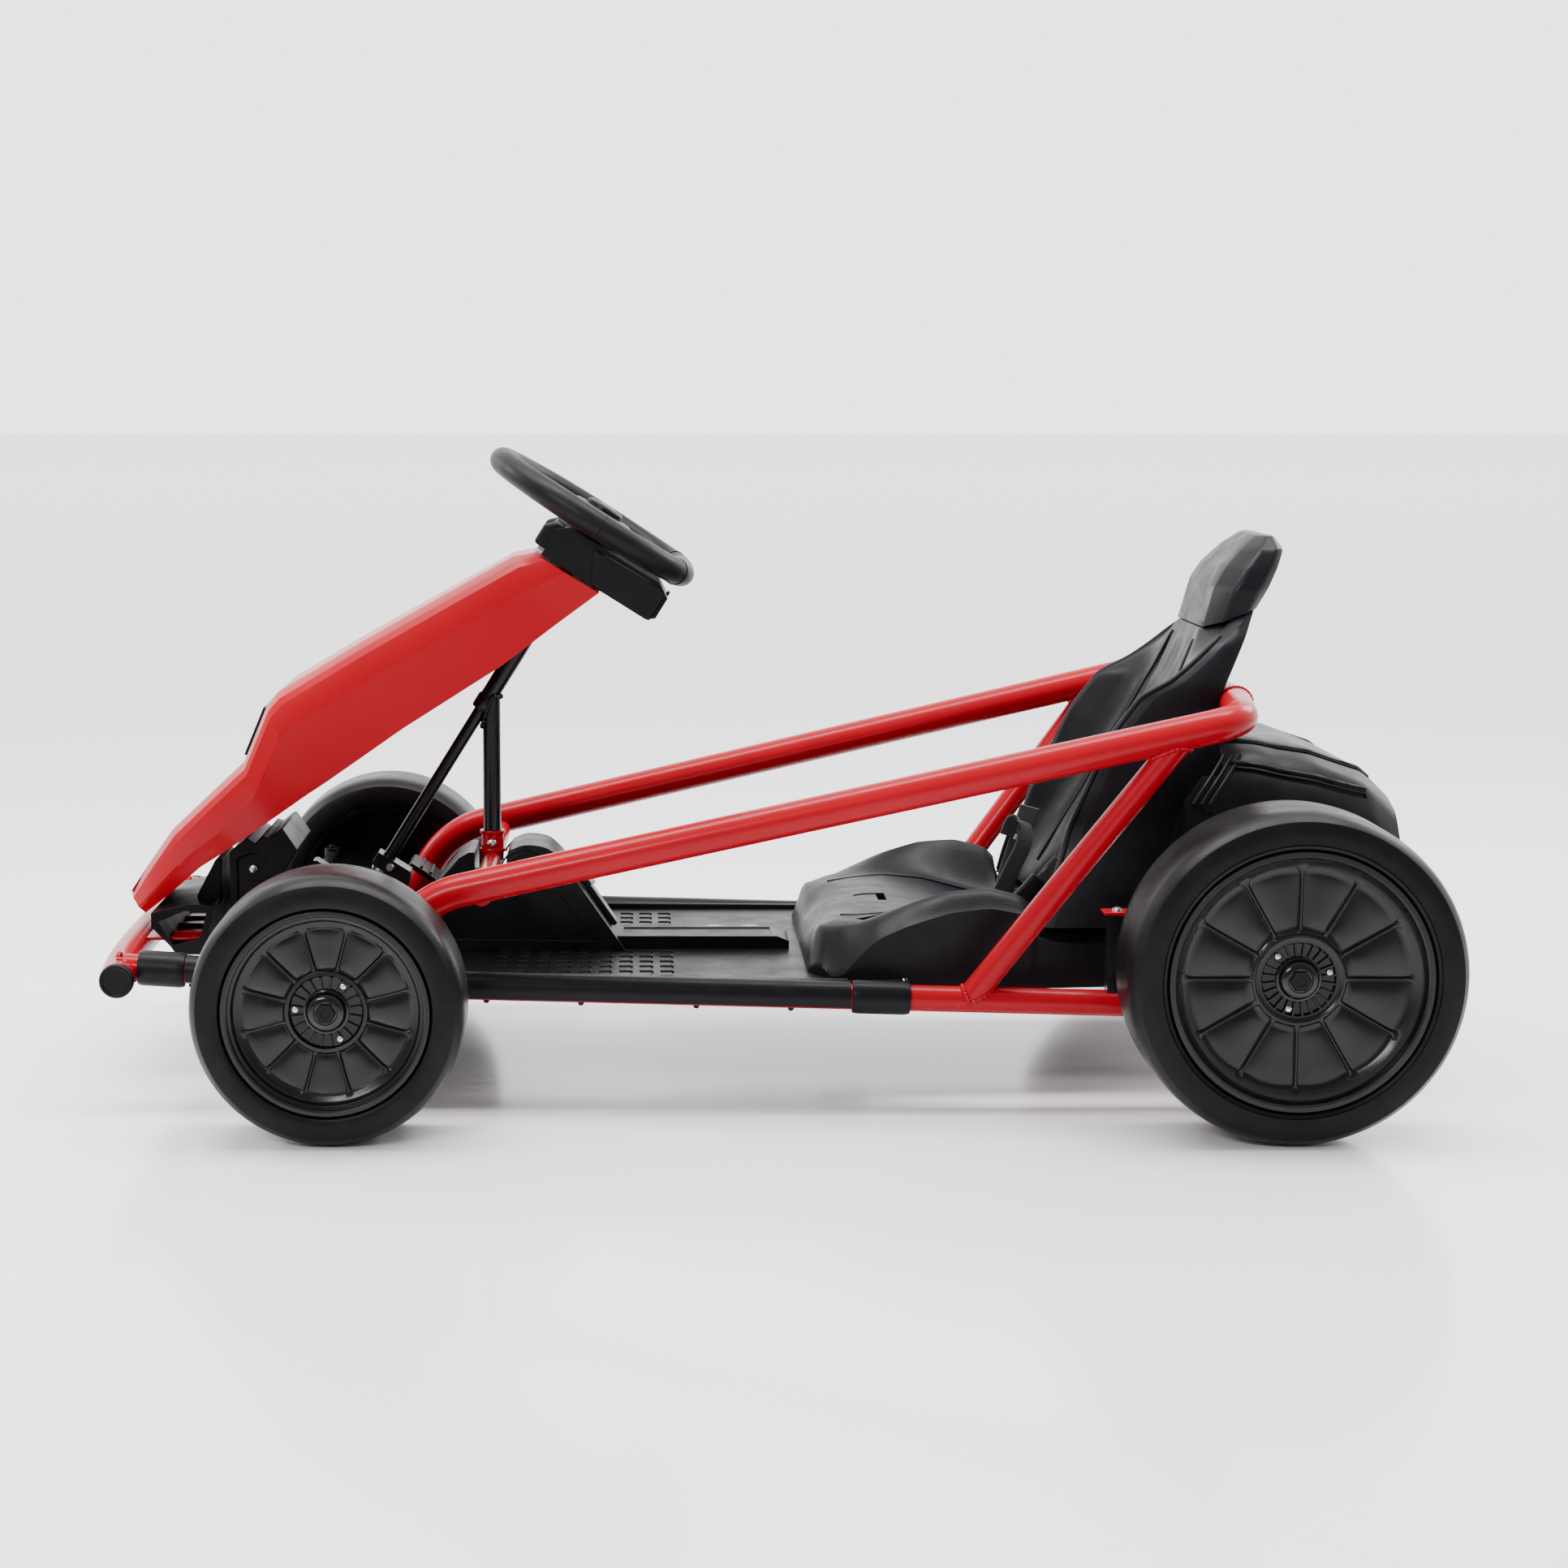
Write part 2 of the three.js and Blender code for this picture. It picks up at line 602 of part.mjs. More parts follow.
function bumperWithPlate() {
  const plate = box(PLATE.x0, PLATE.x1, -PLATE.halfWidth, PLATE.halfWidth, PLATE.z0, PLATE.z1);
  return join(bumperBar(UPPER_RADIUS, BUMPER_HALF_SPAN), plate);
}

function noseBracket() {
  const lower = prism([
    [-599, 166], [-599, 152], [-580, 132], [-575, 124],
    [-549, 124], [-545.5, 128], [-537, 173], [-560, 175],
  ], -88, 88);
  const web = prism([[-590, 166], [-562, 172], [-541, 212], [-534, 212], [-537, 166]], -41, 41);
  const window = prism([[-592, 157], [-577, 134], [-551, 140], [-544, 166], [-566, 168]], -100, 100);
  const slotHalf = PLATE.halfWidth + GAP;
  const [slotFloor, slotRoof] = [PLATE.z0 - GAP, PLATE.z1 + GAP];
  const plateSlot = box(PLATE.x0 - 5, PLATE.x1 + 2, -slotHalf, slotHalf, slotFloor, slotRoof);
  return cut(join(lower, web), window, plateSlot);
}

function fairingSupport() {
  return prism([
    [-524, FLOOR_Z + GAP], [-524, 222], [-506, 237], [-497, 231], [-490, 239], [-484, 237], [-473, 246],
    [-470, 246], [-456, 225], [-468, 205], [-477, 190], [-477, FLOOR_Z + GAP],
  ], -60, 60);
}

// Fairing sections from the dashboard to the nose: top edge, lower edge and half width.
const FAIRING = [
  { top: [-218, 521], low: [-154, 482], half: 68 },
  { top: [-240, 517], low: [-195, 452], half: 70 },
  { top: [-300, 484], low: [-250, 411], half: 80 },
  { top: [-391, 433], low: [-346, 351], half: 94 },
  { top: [-470, 386], low: [-420, 300], half: 106 },
  { top: [-480, 374], low: [-440, 287], half: 108 },
  { top: [-504, 317], low: [-480, 259], half: 108 },
  { top: [-545, 279], low: [-520, 231], half: 98 },
  { top: [-580, 246], low: [-550, 211], half: 86 },
  { top: [-610, 205], low: [-585, 180], half: 66 },
  { top: [-629, 177], low: [-612, 158], half: 48 },
];
const FAIRING_WALL = 3;

// One closed fairing section, moved inward by an inset and run on past the lower edge by an extension.
function fairingRing({ top, low, half }, inset, extension) {
  const from = V(top[0], 0, top[1]);
  const down = V(low[0], 0, low[1]).sub(from);
  const depth = down.length();
  down.normalize();
  const edge = half - inset;
  const shoulder = Math.min(33, 0.6 * depth);
  const halfRing = [
    [0, inset], [edge - 26, inset], [edge - 9, inset + 6], [edge, shoulder], [edge - 4, depth + extension],
  ];
  return mirrored(halfRing, (y, q) => from.clone().addScaledVector(down, q).setY(y));
}

function between(a, b, t) {
  const mix = (p, q) => p + (q - p) * t;
  return {
    top: [mix(a.top[0], b.top[0]), mix(a.top[1], b.top[1])],
    low: [mix(a.low[0], b.low[0]), mix(a.low[1], b.low[1])],
    half: mix(a.half, b.half),
  };
}

function noseFairing() {
  const last = FAIRING.length - 1;
  const outer = loft(FAIRING.map((section) => fairingRing(section, 0, 0)));
  const hollow = [
    between(FAIRING[0], FAIRING[1], 0.14),
    ...FAIRING.slice(1, last),
    between(FAIRING[last - 1], FAIRING[last], 0.6),
  ];
  const inner = loft(hollow.map((section) => fairingRing(section, FAIRING_WALL, 6)));
  const sleeveHole = fromColumn(cylinderZ(SLEEVE_RADIUS + GAP, -80, -50, 0, 0));
  return cut(outer, inner, sleeveHole);
}

// Flat black panel lying on the fairing's step.
function fairingPanel() {
  const [x0, z0] = FAIRING[5].top;
  const [x1, z1] = FAIRING[6].top;
  const length = Math.hypot(x1 - x0, z1 - z0);
  const [dx, dz] = [(x1 - x0) / length, (z1 - z0) / length];
  const at = (along, out) => [x0 + dx * along + dz * out, z0 + dz * along - dx * out];
  return prism([at(5, 0.5), at(5, 3.5), at(57, 3.5), at(57, 0.5)], -75, 75);
}

// ---------------------------------------------------------------- seat and belts

// Seat base sections front to rear: crown height, inner edge, ridge and outer wall as [across, height].
const SKIRT_Z = 106;                  // lower edge of the seat base behind the floor pan
const SEAT_BASE = [
  { x: 50, crown: 121, inner: [78, 122], ridge: [112, 127], wall: [140, 122] },
  { x: 60, crown: 140, inner: [80, 152], ridge: [118, 158], wall: [156, 128] },
  { x: 72, crown: 156, inner: [90, 162], ridge: [132, 160], wall: [172, 119.5] },
  { x: 85, crown: 163, inner: [100, 166], ridge: [142, 163], wall: [177, 126] },
  { x: 98, crown: 167, inner: [106, 167], ridge: [146, 166], wall: [177, 141] },
  { x: 116, crown: 170, inner: [110, 169], ridge: [149, 174], wall: [176, 157] },
  { x: 143.4, crown: 170, inner: [112, 171], ridge: [151, 186], wall: [174, 169] },
  { x: 146, crown: 169.5, inner: [112, 171], ridge: [151, 187], wall: [174, 170], skirt: SKIRT_Z },
  { x: 185, crown: 163, inner: [112, 168], ridge: [150, 199], wall: [169, 181], skirt: SKIRT_Z },
  { x: 224, crown: 152, inner: [112, 158], ridge: [148, 202], wall: [166, 185], skirt: SKIRT_Z },
  { x: 256, crown: 147, inner: [112, 150], ridge: [146, 194], wall: [164, 179], skirt: SKIRT_Z },
  { x: 266, crown: 149, inner: [111, 151], ridge: [145, 184], wall: [163, 172], skirt: SKIRT_Z },
  { x: 271, crown: 150.5, inner: [111, 152], ridge: [144, 164], wall: [162, 155], skirt: SKIRT_Z },
  { x: 300, crown: 158, inner: [110, 158], ridge: [140, 163], wall: [160, 150], skirt: SKIRT_Z },
  { x: 345, crown: 164, inner: [110, 164], ridge: [135, 164], wall: [155, 150], skirt: SKIRT_Z },
];
const SEAT_WALL = 4;

function seatBaseRing({ x, crown, inner, ridge, wall, skirt = FLOOR_Z + GAP }, inset, drop) {
  const bottom = skirt - drop;
  const half = [
    [0, crown - inset], [inner[0], inner[1] - inset], [ridge[0] - inset / 2, ridge[1] - inset],
    [wall[0] - inset, wall[1] - inset / 2], [wall[0] - inset, bottom],
  ];
  return mirrored(half, (y, z) => V(x, y, z));
}

function seatBase() {
  const outer = loft(SEAT_BASE.map((section) => seatBaseRing(section, 0, 0)));
  const last = SEAT_BASE.length - 1;
  const front = { ...SEAT_BASE[0], x: SEAT_BASE[0].x + SEAT_WALL };
  const rear = { ...SEAT_BASE[last], x: SEAT_BASE[last].x - SEAT_WALL };
  const hollow = [front, ...SEAT_BASE.slice(1, last), rear];
  const inner = loft(hollow.map((section) => seatBaseRing(section, SEAT_WALL, 10)));
  return cut(outer, inner);
}

// Seat back sections by height: centre front, wing front at its half width, and rear.
// The joint to the headrest rises towards the rear.
const JOINT_RISE = 0.38;
const SEAT_BACK = [
  { z: 165.3, centre: 290, wing: 272, half: 158, rear: 375 },
  { z: 200, centre: 309, wing: 284, half: 150, rear: 388 },
  { z: 230, centre: 325, wing: 295, half: 140, rear: 400 },
  { z: 260, centre: 342, wing: 304, half: 133, rear: 412 },
  { z: 300, centre: 364, wing: 322, half: 128, rear: 425 },
  { z: 345, centre: 389, wing: 342, half: 126, rear: 440 },
  { z: 384, centre: 410, wing: 371, half: 123, rear: 452 },
  { z: 400, centre: 419, wing: 400, half: 120, rear: 459 },
  { z: 431, centre: 433, wing: 440, half: 105, rear: 478, rise: 0.2 },
  { z: 447, centre: 441, wing: 466, half: 84, rear: 490, rise: JOINT_RISE },
];

function seatBack() {
  const body = loft(SEAT_BACK.map(({ z, centre, wing, half, rear, rise = 0 }) => {
    const crease = centre + (wing - centre) * 0.35;
    const outline = [
      [0, centre], [half * 0.62, centre], [half * 0.8, crease], [half - 5, wing], [half, wing + 3],
      [half + 4, wing + 14], [half + 2, rear - 12], [half - 14, rear],
    ];
    return mirrored(outline, (y, x) => V(x, y, z + rise * (x - centre)));
  }));
  const hoop = straightBar(V(HOOP.x, -130, HOOP.z), V(HOOP.x, 130, HOOP.z), UPPER_RADIUS + 1);
  return cut(body, hoop, ...sides.map(({ sign }) => upperRail(sign, UPPER_RADIUS + 1)));
}

// Headrest sections by height: front face and rear face with their half widths.
const HEADREST = [
  { z: 447.6, front: 441, frontHalf: 64, rear: 492, half: 84, rise: JOINT_RISE },
  { z: 488, front: 452, frontHalf: 64, rear: 503, half: 88 },
  { z: 507, front: 463, frontHalf: 60, rear: 512, half: 84 },
  { z: 525, front: 480, frontHalf: 50, rear: 519, half: 74 },
  { z: 538, front: 497, frontHalf: 40, rear: 512, half: 58 },
];

function headrest() {
  return loft(HEADREST.map(({ z, front, frontHalf, rear, half, rise = 0 }) => {
    const depth = rear - front;
    const outline = [
      [0, front], [frontHalf, front], [half, front + depth * 0.35],
      [half, rear - depth * 0.2], [half - 12, rear],
    ];
    return mirrored(outline, (y, x) => V(x, y, z + rise * (x - front)));
  }));
}

function lapBelt(sign) {
  const near = [
    [240, 162], [250, 153], [288, 166], [303, 208], [310, 222], [298, 223], [272, 198], [248, 182],
  ];
  const far = [[262, 154], [283, 162], [298, 200], [306, 245], [290, 250], [272, 215]];
  return sign < 0 ? prism(near, -108, -76) : prism(far, 78, 98);
}

// ---------------------------------------------------------------- rear

// Rear cover sections front to rear: height of the top.
const COVER = [[405, 345], [480, 344], [505, 339], [539, 333], [589, 314], [605, 300], [620, 285]];
const COVER_WALL = 3;

function coverRing(x, top, inset, bottom) {
  const half = [
    [0, top - inset], [100 - inset, top - inset], [134 - inset, top - 12 - inset],
    [160 - inset, top - 45 - inset / 2], [178 - inset, 215], [178 - inset, bottom],
  ];
  return mirrored(half, (y, z) => V(x, y, z));
}

function rearCover() {
  const outer = loft(COVER.map(([x, top]) => coverRing(x, top, 0, 190)));
  const hollow = [[395, 345], ...COVER.slice(1, -1), [617, 288]];
  const inner = loft(hollow.map(([x, top]) => coverRing(x, top, COVER_WALL, 180)));
  const seatOpening = prism([
    [380, 170], [440, 170], [430, 230], [448, 300], [448, 400], [380, 400],
  ], -152, 152);
  const cheekTrim = prism([
    [380, 170], [440, 170], [430, 230], [408, 262], [404, 400], [380, 400],
  ], -200, 200);
  return cut(outer, inner, seatOpening, cheekTrim);
}

function tailLamp() {
  return prism([[620.3, 240], [628, 240], [631, 246], [631, 269], [628, 275], [620.3, 275]], -70, 70);
}

function battery() {
  const z = TRAY.z + 3 + GAP;
  const body = prism([[496, z], [598, z], [598, 282], [594, 286], [500, 286], [496, 282]], -88, 88);
  const gripPosts = [box(520, 574, -40, -32, 284, 296), box(520, 574, 32, 40, 284, 296)];
  const gripBar = box(520, 574, -40, 40, 291, 297);
  return join(body, ...gripPosts, gripBar);
}

function motorController() {
  const z = FLOOR_Z + GAP;
  const fins = [66, 76, 86, 96, 106, 116, 126].map((x) => box(x, x + 4, -42, 42, z + 13, z + 20));
  return join(box(62, 134, -45, 45, z, z + 14), ...fins);
}

const MOTOR = { x: 545, z: 165, radius: 19 };

function gearbox(sign) {
  const [y0, y1] = span(sign, 224, 254);
  const [m0, m1] = span(sign, 150, 226);
  const axleEnd = cylinderY(42, y0, y1, REAR_AXLE_X, REAR_WHEEL.radius, 24);
  const motorEnd = cylinderY(26, y0, y1, MOTOR.x, MOTOR.z, 18);
  const bridge = prism([[476, 195.5], [541, 190.5], [549, 139.5], [487, 113]], y0, y1);
  const motor = cylinderY(MOTOR.radius, m0, m1, MOTOR.x, MOTOR.z, 20);
  const bore = cylinderY(BORE_RADIUS, y0 - 1, y1 + 1, REAR_AXLE_X, REAR_WHEEL.radius, 16);
  return cut(join(axleEnd, motorEnd, bridge, motor), bore);
}

// Bracket carrying the rear axle: a post on the lower rail, a beam to the rear and a hanger.
function axleBracket(sign) {
  const [y0, y1] = span(sign, 197, 214);
  const post = box(330, 346, y0, y1, 108, 186);
  const beam = box(330, 500, y0, y1, 176, 188);
  const hanger = prism([[462, 180], [468, 140], [492, 140], [498, 180]], y0, y1);
  const bore = cylinderY(BORE_RADIUS, y0 - 1, y1 + 1, REAR_AXLE_X, REAR_WHEEL.radius, 16);
  return cut(join(post, beam, hanger), lowerRail(sign, RAIL_RADIUS + GAP), bore);
}

// ---------------------------------------------------------------- wheels

const LATHE_SEGMENTS = 28;

// Turned body about the wheel's axle, from a closed profile of [radius, across].
// Its flats touch the nominal radius.
function turned(profile, segments = LATHE_SEGMENTS) {
  const grow = 1 / Math.cos(Math.PI / segments);
  const points = profile.map(([radius, across]) => new THREE.Vector2(radius * grow, across));
  return toGeometry(toSolid(new THREE.LatheGeometry(points, segments, Math.PI / segments)));
}

function tyre({ radius, width, rimRadius }) {
  const half = width / 2;
  const bead = rimRadius + GAP;
  const side = [
    [bead, half - 5], [bead + 5, half], [radius - 14, half], [radius - 3, half - 9], [radius, half - 17],
  ];
  const otherSide = side.map(([r, y]) => [r, -y]).reverse();
  return turned([...side, ...otherSide, side[0]].reverse());
}

// Dished rim; its outer face looks along +Y before mirroring.
function rim({ width, rimRadius }, hubInner, hubRadius) {
  const half = width / 2 - 3;
  const profile = [
    [BORE_RADIUS, hubInner], [20, hubInner], [20, 22], [rimRadius - 5, 22], [rimRadius - 5, -half],
    [rimRadius, -half], [rimRadius, half], [rimRadius - 3, half + 2], [rimRadius - 10, 34],
    [hubRadius, 29], [hubRadius, 34], [BORE_RADIUS, 34],
  ];
  return turned([...profile, profile[0]]);
}

function hubCap(radius, nub) {
  const profile = [
    [0, 34.3], [radius, 34.3], [radius, 37.5], [radius - 2, 39], [nub, 39], [nub, 44], [0, 44],
  ];
  return turned(profile, 16);
}

function addWheel(name, sign, x, size, hubInner, hubRadius, capRadius, nub) {
  const wheel = new THREE.Group();
  wheel.position.set(x, sign * (OVERALL_HALF_WIDTH - size.width / 2), size.radius);
  wheel.rotation.z = sign > 0 ? 0 : Math.PI;
  kart.add(wheel);
  addMesh(wheel, `tyre_${name}`, tyre(size), COLOURS.charcoal);
  addMesh(wheel, `rim_${name}`, rim(size, hubInner, hubRadius), COLOURS.black);
  addMesh(wheel, `hub_cap_${name}`, hubCap(capRadius, nub), COLOURS.charcoal);
}

// ---------------------------------------------------------------- assembly

function addSteering() {
  addMesh(kart, 'front_axle_beam', frontAxleBeam(), COLOURS.black);
  addMesh(kart, 'knuckle_left', knuckle(-1), COLOURS.black);
  addMesh(kart, 'knuckle_right', knuckle(1), COLOURS.black);
  addMesh(kart, 'tie_rod', tieRod(), COLOURS.black);
  addMesh(kart, 'steering_housing', steeringHousing(), COLOURS.black);
  addMesh(kart, 'column_post', columnPost(), COLOURS.black);
  const column = new THREE.Group();
  column.position.copy(HUB);
  column.rotation.y = COLUMN_TILT;
  kart.add(column);
  addMesh(column, 'column_sleeve', columnSleeve(), COLOURS.black);
  addMesh(column, 'steering_shaft', steeringShaft(), COLOURS.black);
  addMesh(column, 'steering_wheel', steeringWheel(), COLOURS.black);
  addMesh(column, 'horn_button', hornButton(), COLOURS.charcoal);
  addMesh(column, 'dash_console', dashConsole(), COLOURS.black);
  addMesh(column, 'power_switch', powerSwitch(), COLOURS.charcoal);
  addMesh(kart, 'accelerator_pedal', acceleratorPedal(), COLOURS.black);
}

function addNose() {
  addRedMesh('nose_fairing', noseFairing());
  addMesh(kart, 'fairing_panel', fairingPanel(), COLOURS.black);
  addMesh(kart, 'nose_bracket', noseBracket(), COLOURS.black);
  addMesh(kart, 'fairing_support', fairingSupport(), COLOURS.black);
}

function addSeat() {
  addMesh(kart, 'seat_base', seatBase(), COLOURS.seat);
  addMesh(kart, 'seat_back', seatBack(), COLOURS.seat);
  addMesh(kart, 'headrest', headrest(), COLOURS.seat);
  for (const { name, sign } of sides) {
    addMesh(kart, `lap_belt_${name}`, lapBelt(sign), COLOURS.black);
  }
}

function addRear() {
  addMesh(kart, 'rear_cover', rearCover(), COLOURS.black);
  addMesh(kart, 'tail_lamp', tailLamp(), COLOURS.lens);
  addMesh(kart, 'battery', battery(), COLOURS.charcoal);
  addMesh(kart, 'motor_controller', motorController(), COLOURS.steel, FINISH.steel);
  const axle = cylinderY(AXLE_RADIUS, -344.5, 344.5, REAR_AXLE_X, REAR_WHEEL.radius, 16);
  addMesh(kart, 'rear_axle', axle, COLOURS.steel, FINISH.steel);
  for (const { name, sign } of sides) {
    addMesh(kart, `gearbox_${name}`, gearbox(sign), COLOURS.charcoal);
    addMesh(kart, `axle_bracket_${name}`, axleBracket(sign), COLOURS.black);
  }
}

function addWheels() {
  for (const { name, sign } of sides) {
    addWheel(`front_${name}`, sign, FRONT_AXLE_X, FRONT_WHEEL, -42, 33, 20, 10);
    addWheel(`rear_${name}`, sign, REAR_AXLE_X, REAR_WHEEL, -46, 39, 18, 12);
  }
}

addFrame();
addFloor();
addSteering();
addNose();
addSeat();
addRear();
addWheels();

export default kart;
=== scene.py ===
"""Looks of a child's electric drift kart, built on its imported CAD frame.

Shapes are worked out in millimetres in the kart's frame (-X forwards, -Y the driver's left, +Z up)
and turned into metres when a mesh is made.
"""

import json
import math

import bmesh
import bpy
import numpy as np
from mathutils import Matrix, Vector


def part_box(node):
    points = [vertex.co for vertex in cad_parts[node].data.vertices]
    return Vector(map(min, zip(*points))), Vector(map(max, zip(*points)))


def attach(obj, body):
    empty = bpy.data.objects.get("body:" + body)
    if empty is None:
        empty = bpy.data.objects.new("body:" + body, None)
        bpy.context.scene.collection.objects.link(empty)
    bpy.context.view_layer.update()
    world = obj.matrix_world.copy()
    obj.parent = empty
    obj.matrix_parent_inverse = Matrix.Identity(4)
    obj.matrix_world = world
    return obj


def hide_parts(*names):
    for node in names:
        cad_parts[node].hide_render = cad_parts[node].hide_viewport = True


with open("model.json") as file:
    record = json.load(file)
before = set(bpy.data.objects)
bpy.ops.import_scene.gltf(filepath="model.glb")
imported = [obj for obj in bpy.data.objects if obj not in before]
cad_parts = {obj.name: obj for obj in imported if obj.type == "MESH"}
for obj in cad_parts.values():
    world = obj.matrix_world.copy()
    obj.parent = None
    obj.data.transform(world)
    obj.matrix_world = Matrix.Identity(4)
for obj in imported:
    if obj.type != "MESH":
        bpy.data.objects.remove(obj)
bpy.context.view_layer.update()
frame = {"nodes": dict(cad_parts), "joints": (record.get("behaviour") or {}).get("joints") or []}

MM = 0.001
JOINT = {joint["name"]: joint for joint in frame["joints"]}
SIDES = (("left", -1), ("right", 1))


def joint_at(name):
    """A joint's place in millimetres."""
    return np.array(JOINT[name]["pos_m"]) / MM


def box_mm(node):
    low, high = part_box(node)
    return np.array(low) / MM, np.array(high) / MM


HUB = joint_at("steering_turn")
COLUMN_TILT = math.radians(32)
CAMERA_DIP = 8.08     # degrees below level
TUBE = 16.0           # upper rails, hoop and bumper bar
RAIL = 12.5           # lower rails and struts
RAIL_Y = 208.0
FLOOR_Z = 118.0
PAN_TOP = 118.3       # just above the floor pan's upper face
LOWER_BEND_X = -300   # where the lower rails start to rise
RAIL_FRONT, RAIL_REAR = -606, 588
STRUT_FOOT_X, STRUT_TOP_X = 199, 393
HOOP_X, HOOP_Z = 466, 378
HOOP_HALF = 112
BUMPER_X, BUMPER_Z = -618, 130
BUMPER_SWEEP = 12     # how far the bumper's ends lie behind its middle
BUMPER_HALF = 236


# ------------------------------------------------------------ camera, light and floor

def add_camera():
    camera = bpy.data.objects.new("camera", bpy.data.cameras.new("camera"))
    camera.data.lens = 63.83
    camera.data.sensor_width = 36
    camera.data.shift_x = 0.0949
    camera.location = (-0.1183, -2.8014, 0.6807)
    camera.rotation_euler = (math.radians(90 - CAMERA_DIP), 0, 0)
    bpy.context.scene.collection.objects.link(camera)
    bpy.context.scene.camera = camera


def add_light(name, place, target, size, power, colour=(1, 1, 1)):
    data = bpy.data.lights.new(name, "AREA")
    data.shape = "RECTANGLE"
    data.size, data.size_y = size
    data.energy = power
    data.color = colour
    light = bpy.data.objects.new(name, data)
    light.location = place
    aim = Vector(place) - Vector(target)
    light.rotation_euler = aim.to_track_quat("Z", "Y").to_euler()
    bpy.context.scene.collection.objects.link(light)


def add_studio():
    world = bpy.data.worlds.new("studio")
    world.use_nodes = True
    tree = world.node_tree
    direction = tree.nodes.new("ShaderNodeSeparateXYZ")
    tree.links.new(tree.nodes.new("ShaderNodeTexCoord").outputs["Generated"], direction.inputs[0])
    backdrop = tree.nodes.new("ShaderNodeMapRange")
    for socket, value in (("From Min", -0.7), ("From Max", 0.8), ("To Min", 0.4), ("To Max", 3.0)):
        backdrop.inputs[socket].default_value = value
    tree.links.new(direction.outputs["Y"], backdrop.inputs["Value"])
    tree.nodes["Background"].inputs["Color"].default_value = (1, 1, 1, 1)
    tree.links.new(backdrop.outputs["Result"], tree.nodes["Background"].inputs["Strength"])
    bpy.context.scene.world = world
    add_light("overhead", (0.0, -0.1, 2.3), (0, 0, 0.2), (3.0, 0.7), 120)
    add_light("front_soft", (-1.5, -2.7, 1.9), (-0.1, 0, 0.25), (1.3, 0.5), 62)
    add_light("rear_soft", (2.2, 1.3, 1.7), (0.1, 0, 0.3), (1.0, 1.0), 40)
    add_light("nose_soft", (-2.4, 0.9, 1.5), (-0.3, 0, 0.3), (0.8, 0.8), 26)
    mesh = bpy.data.meshes.new("floor")
    reach = 40.0
    corners = [(-reach, -reach, 0), (reach, -reach, 0), (reach, reach, 0), (-reach, reach, 0)]
    mesh.from_pydata(corners, [], [(0, 1, 2, 3)])
    floor = bpy.data.objects.new("floor", mesh)
    bpy.context.scene.collection.objects.link(floor)
    material = bpy.data.materials.new("floor")
    material.use_nodes = True
    shader = material.node_tree.nodes["Principled BSDF"]
    shader.inputs["Base Color"].default_value = (0.9, 0.895, 0.91, 1)
    shader.inputs["Roughness"].default_value = 0.16
    shader.inputs["Specular IOR Level"].default_value = 0.7
    mesh.materials.append(material)


# ------------------------------------------------------------ materials

def new_material(name, colour, roughness, **settings):
    """A principled material; the settings go straight on the shader's sockets."""
    material = bpy.data.materials.new(name)
    material.use_nodes = True
    shader = material.node_tree.nodes["Principled BSDF"]
    shader.inputs["Base Color"].default_value = (*colour, 1)
    shader.inputs["Roughness"].default_value = roughness
    for socket, value in settings.items():
        shader.inputs[socket.replace("_", " ")].default_value = value
    return material, material.node_tree, shader


def coordinates(tree):
    return tree.nodes.new("ShaderNodeTexCoord").outputs["Object"]


def noise(tree, scale, detail=3.0, roughness=0.5, stretch=None):
    node = tree.nodes.new("ShaderNodeTexNoise")
    node.inputs["Scale"].default_value = scale
    node.inputs["Detail"].default_value = detail
    node.inputs["Roughness"].default_value = roughness
    source = coordinates(tree)
    if stretch:
        mapping = tree.nodes.new("ShaderNodeMapping")
        mapping.inputs["Scale"].default_value = stretch
        tree.links.new(source, mapping.inputs["Vector"])
        source = mapping.outputs["Vector"]
    tree.links.new(source, node.inputs["Vector"])
    return node.outputs["Fac"]


def ramp(tree, fac, low, high, at=(0.3, 0.7)):
    """Spreads a value between two colours or two greys."""
    node = tree.nodes.new("ShaderNodeValToRGB")
    tree.links.new(fac, node.inputs["Fac"])
    for element, value, place in zip(node.color_ramp.elements, (low, high), at):
        element.position = place
        element.color = (*value, 1) if isinstance(value, tuple) else (value, value, value, 1)
    return node.outputs["Color"]


def add_bump(tree, shader, height, distance, strength=1.0):
    bump = tree.nodes.new("ShaderNodeBump")
    bump.inputs["Distance"].default_value = distance
    bump.inputs["Strength"].default_value = strength
    tree.links.new(height, bump.inputs["Height"])
    tree.links.new(bump.outputs["Normal"], shader.inputs["Normal"])


def painted(name, colour, roughness=0.3):
    """Clear-coated paint with faint orange peel and slow shade variation."""
    material, tree, shader = new_material(name, colour, roughness, Coat_Weight=0.06, Coat_Roughness=0.1,
                                          Specular_IOR_Level=0.12)
    darker = tuple(0.86 * c for c in colour)
    tree.links.new(ramp(tree, noise(tree, 9, 2), darker, colour, (0.2, 0.8)), shader.inputs["Base Color"])
    gloss = ramp(tree, noise(tree, 30, 3), roughness - 0.03, roughness + 0.05, (0.2, 0.8))
    tree.links.new(gloss, shader.inputs["Roughness"])
    add_bump(tree, shader, noise(tree, 260, 2), 0.0001, 0.3)
    return material


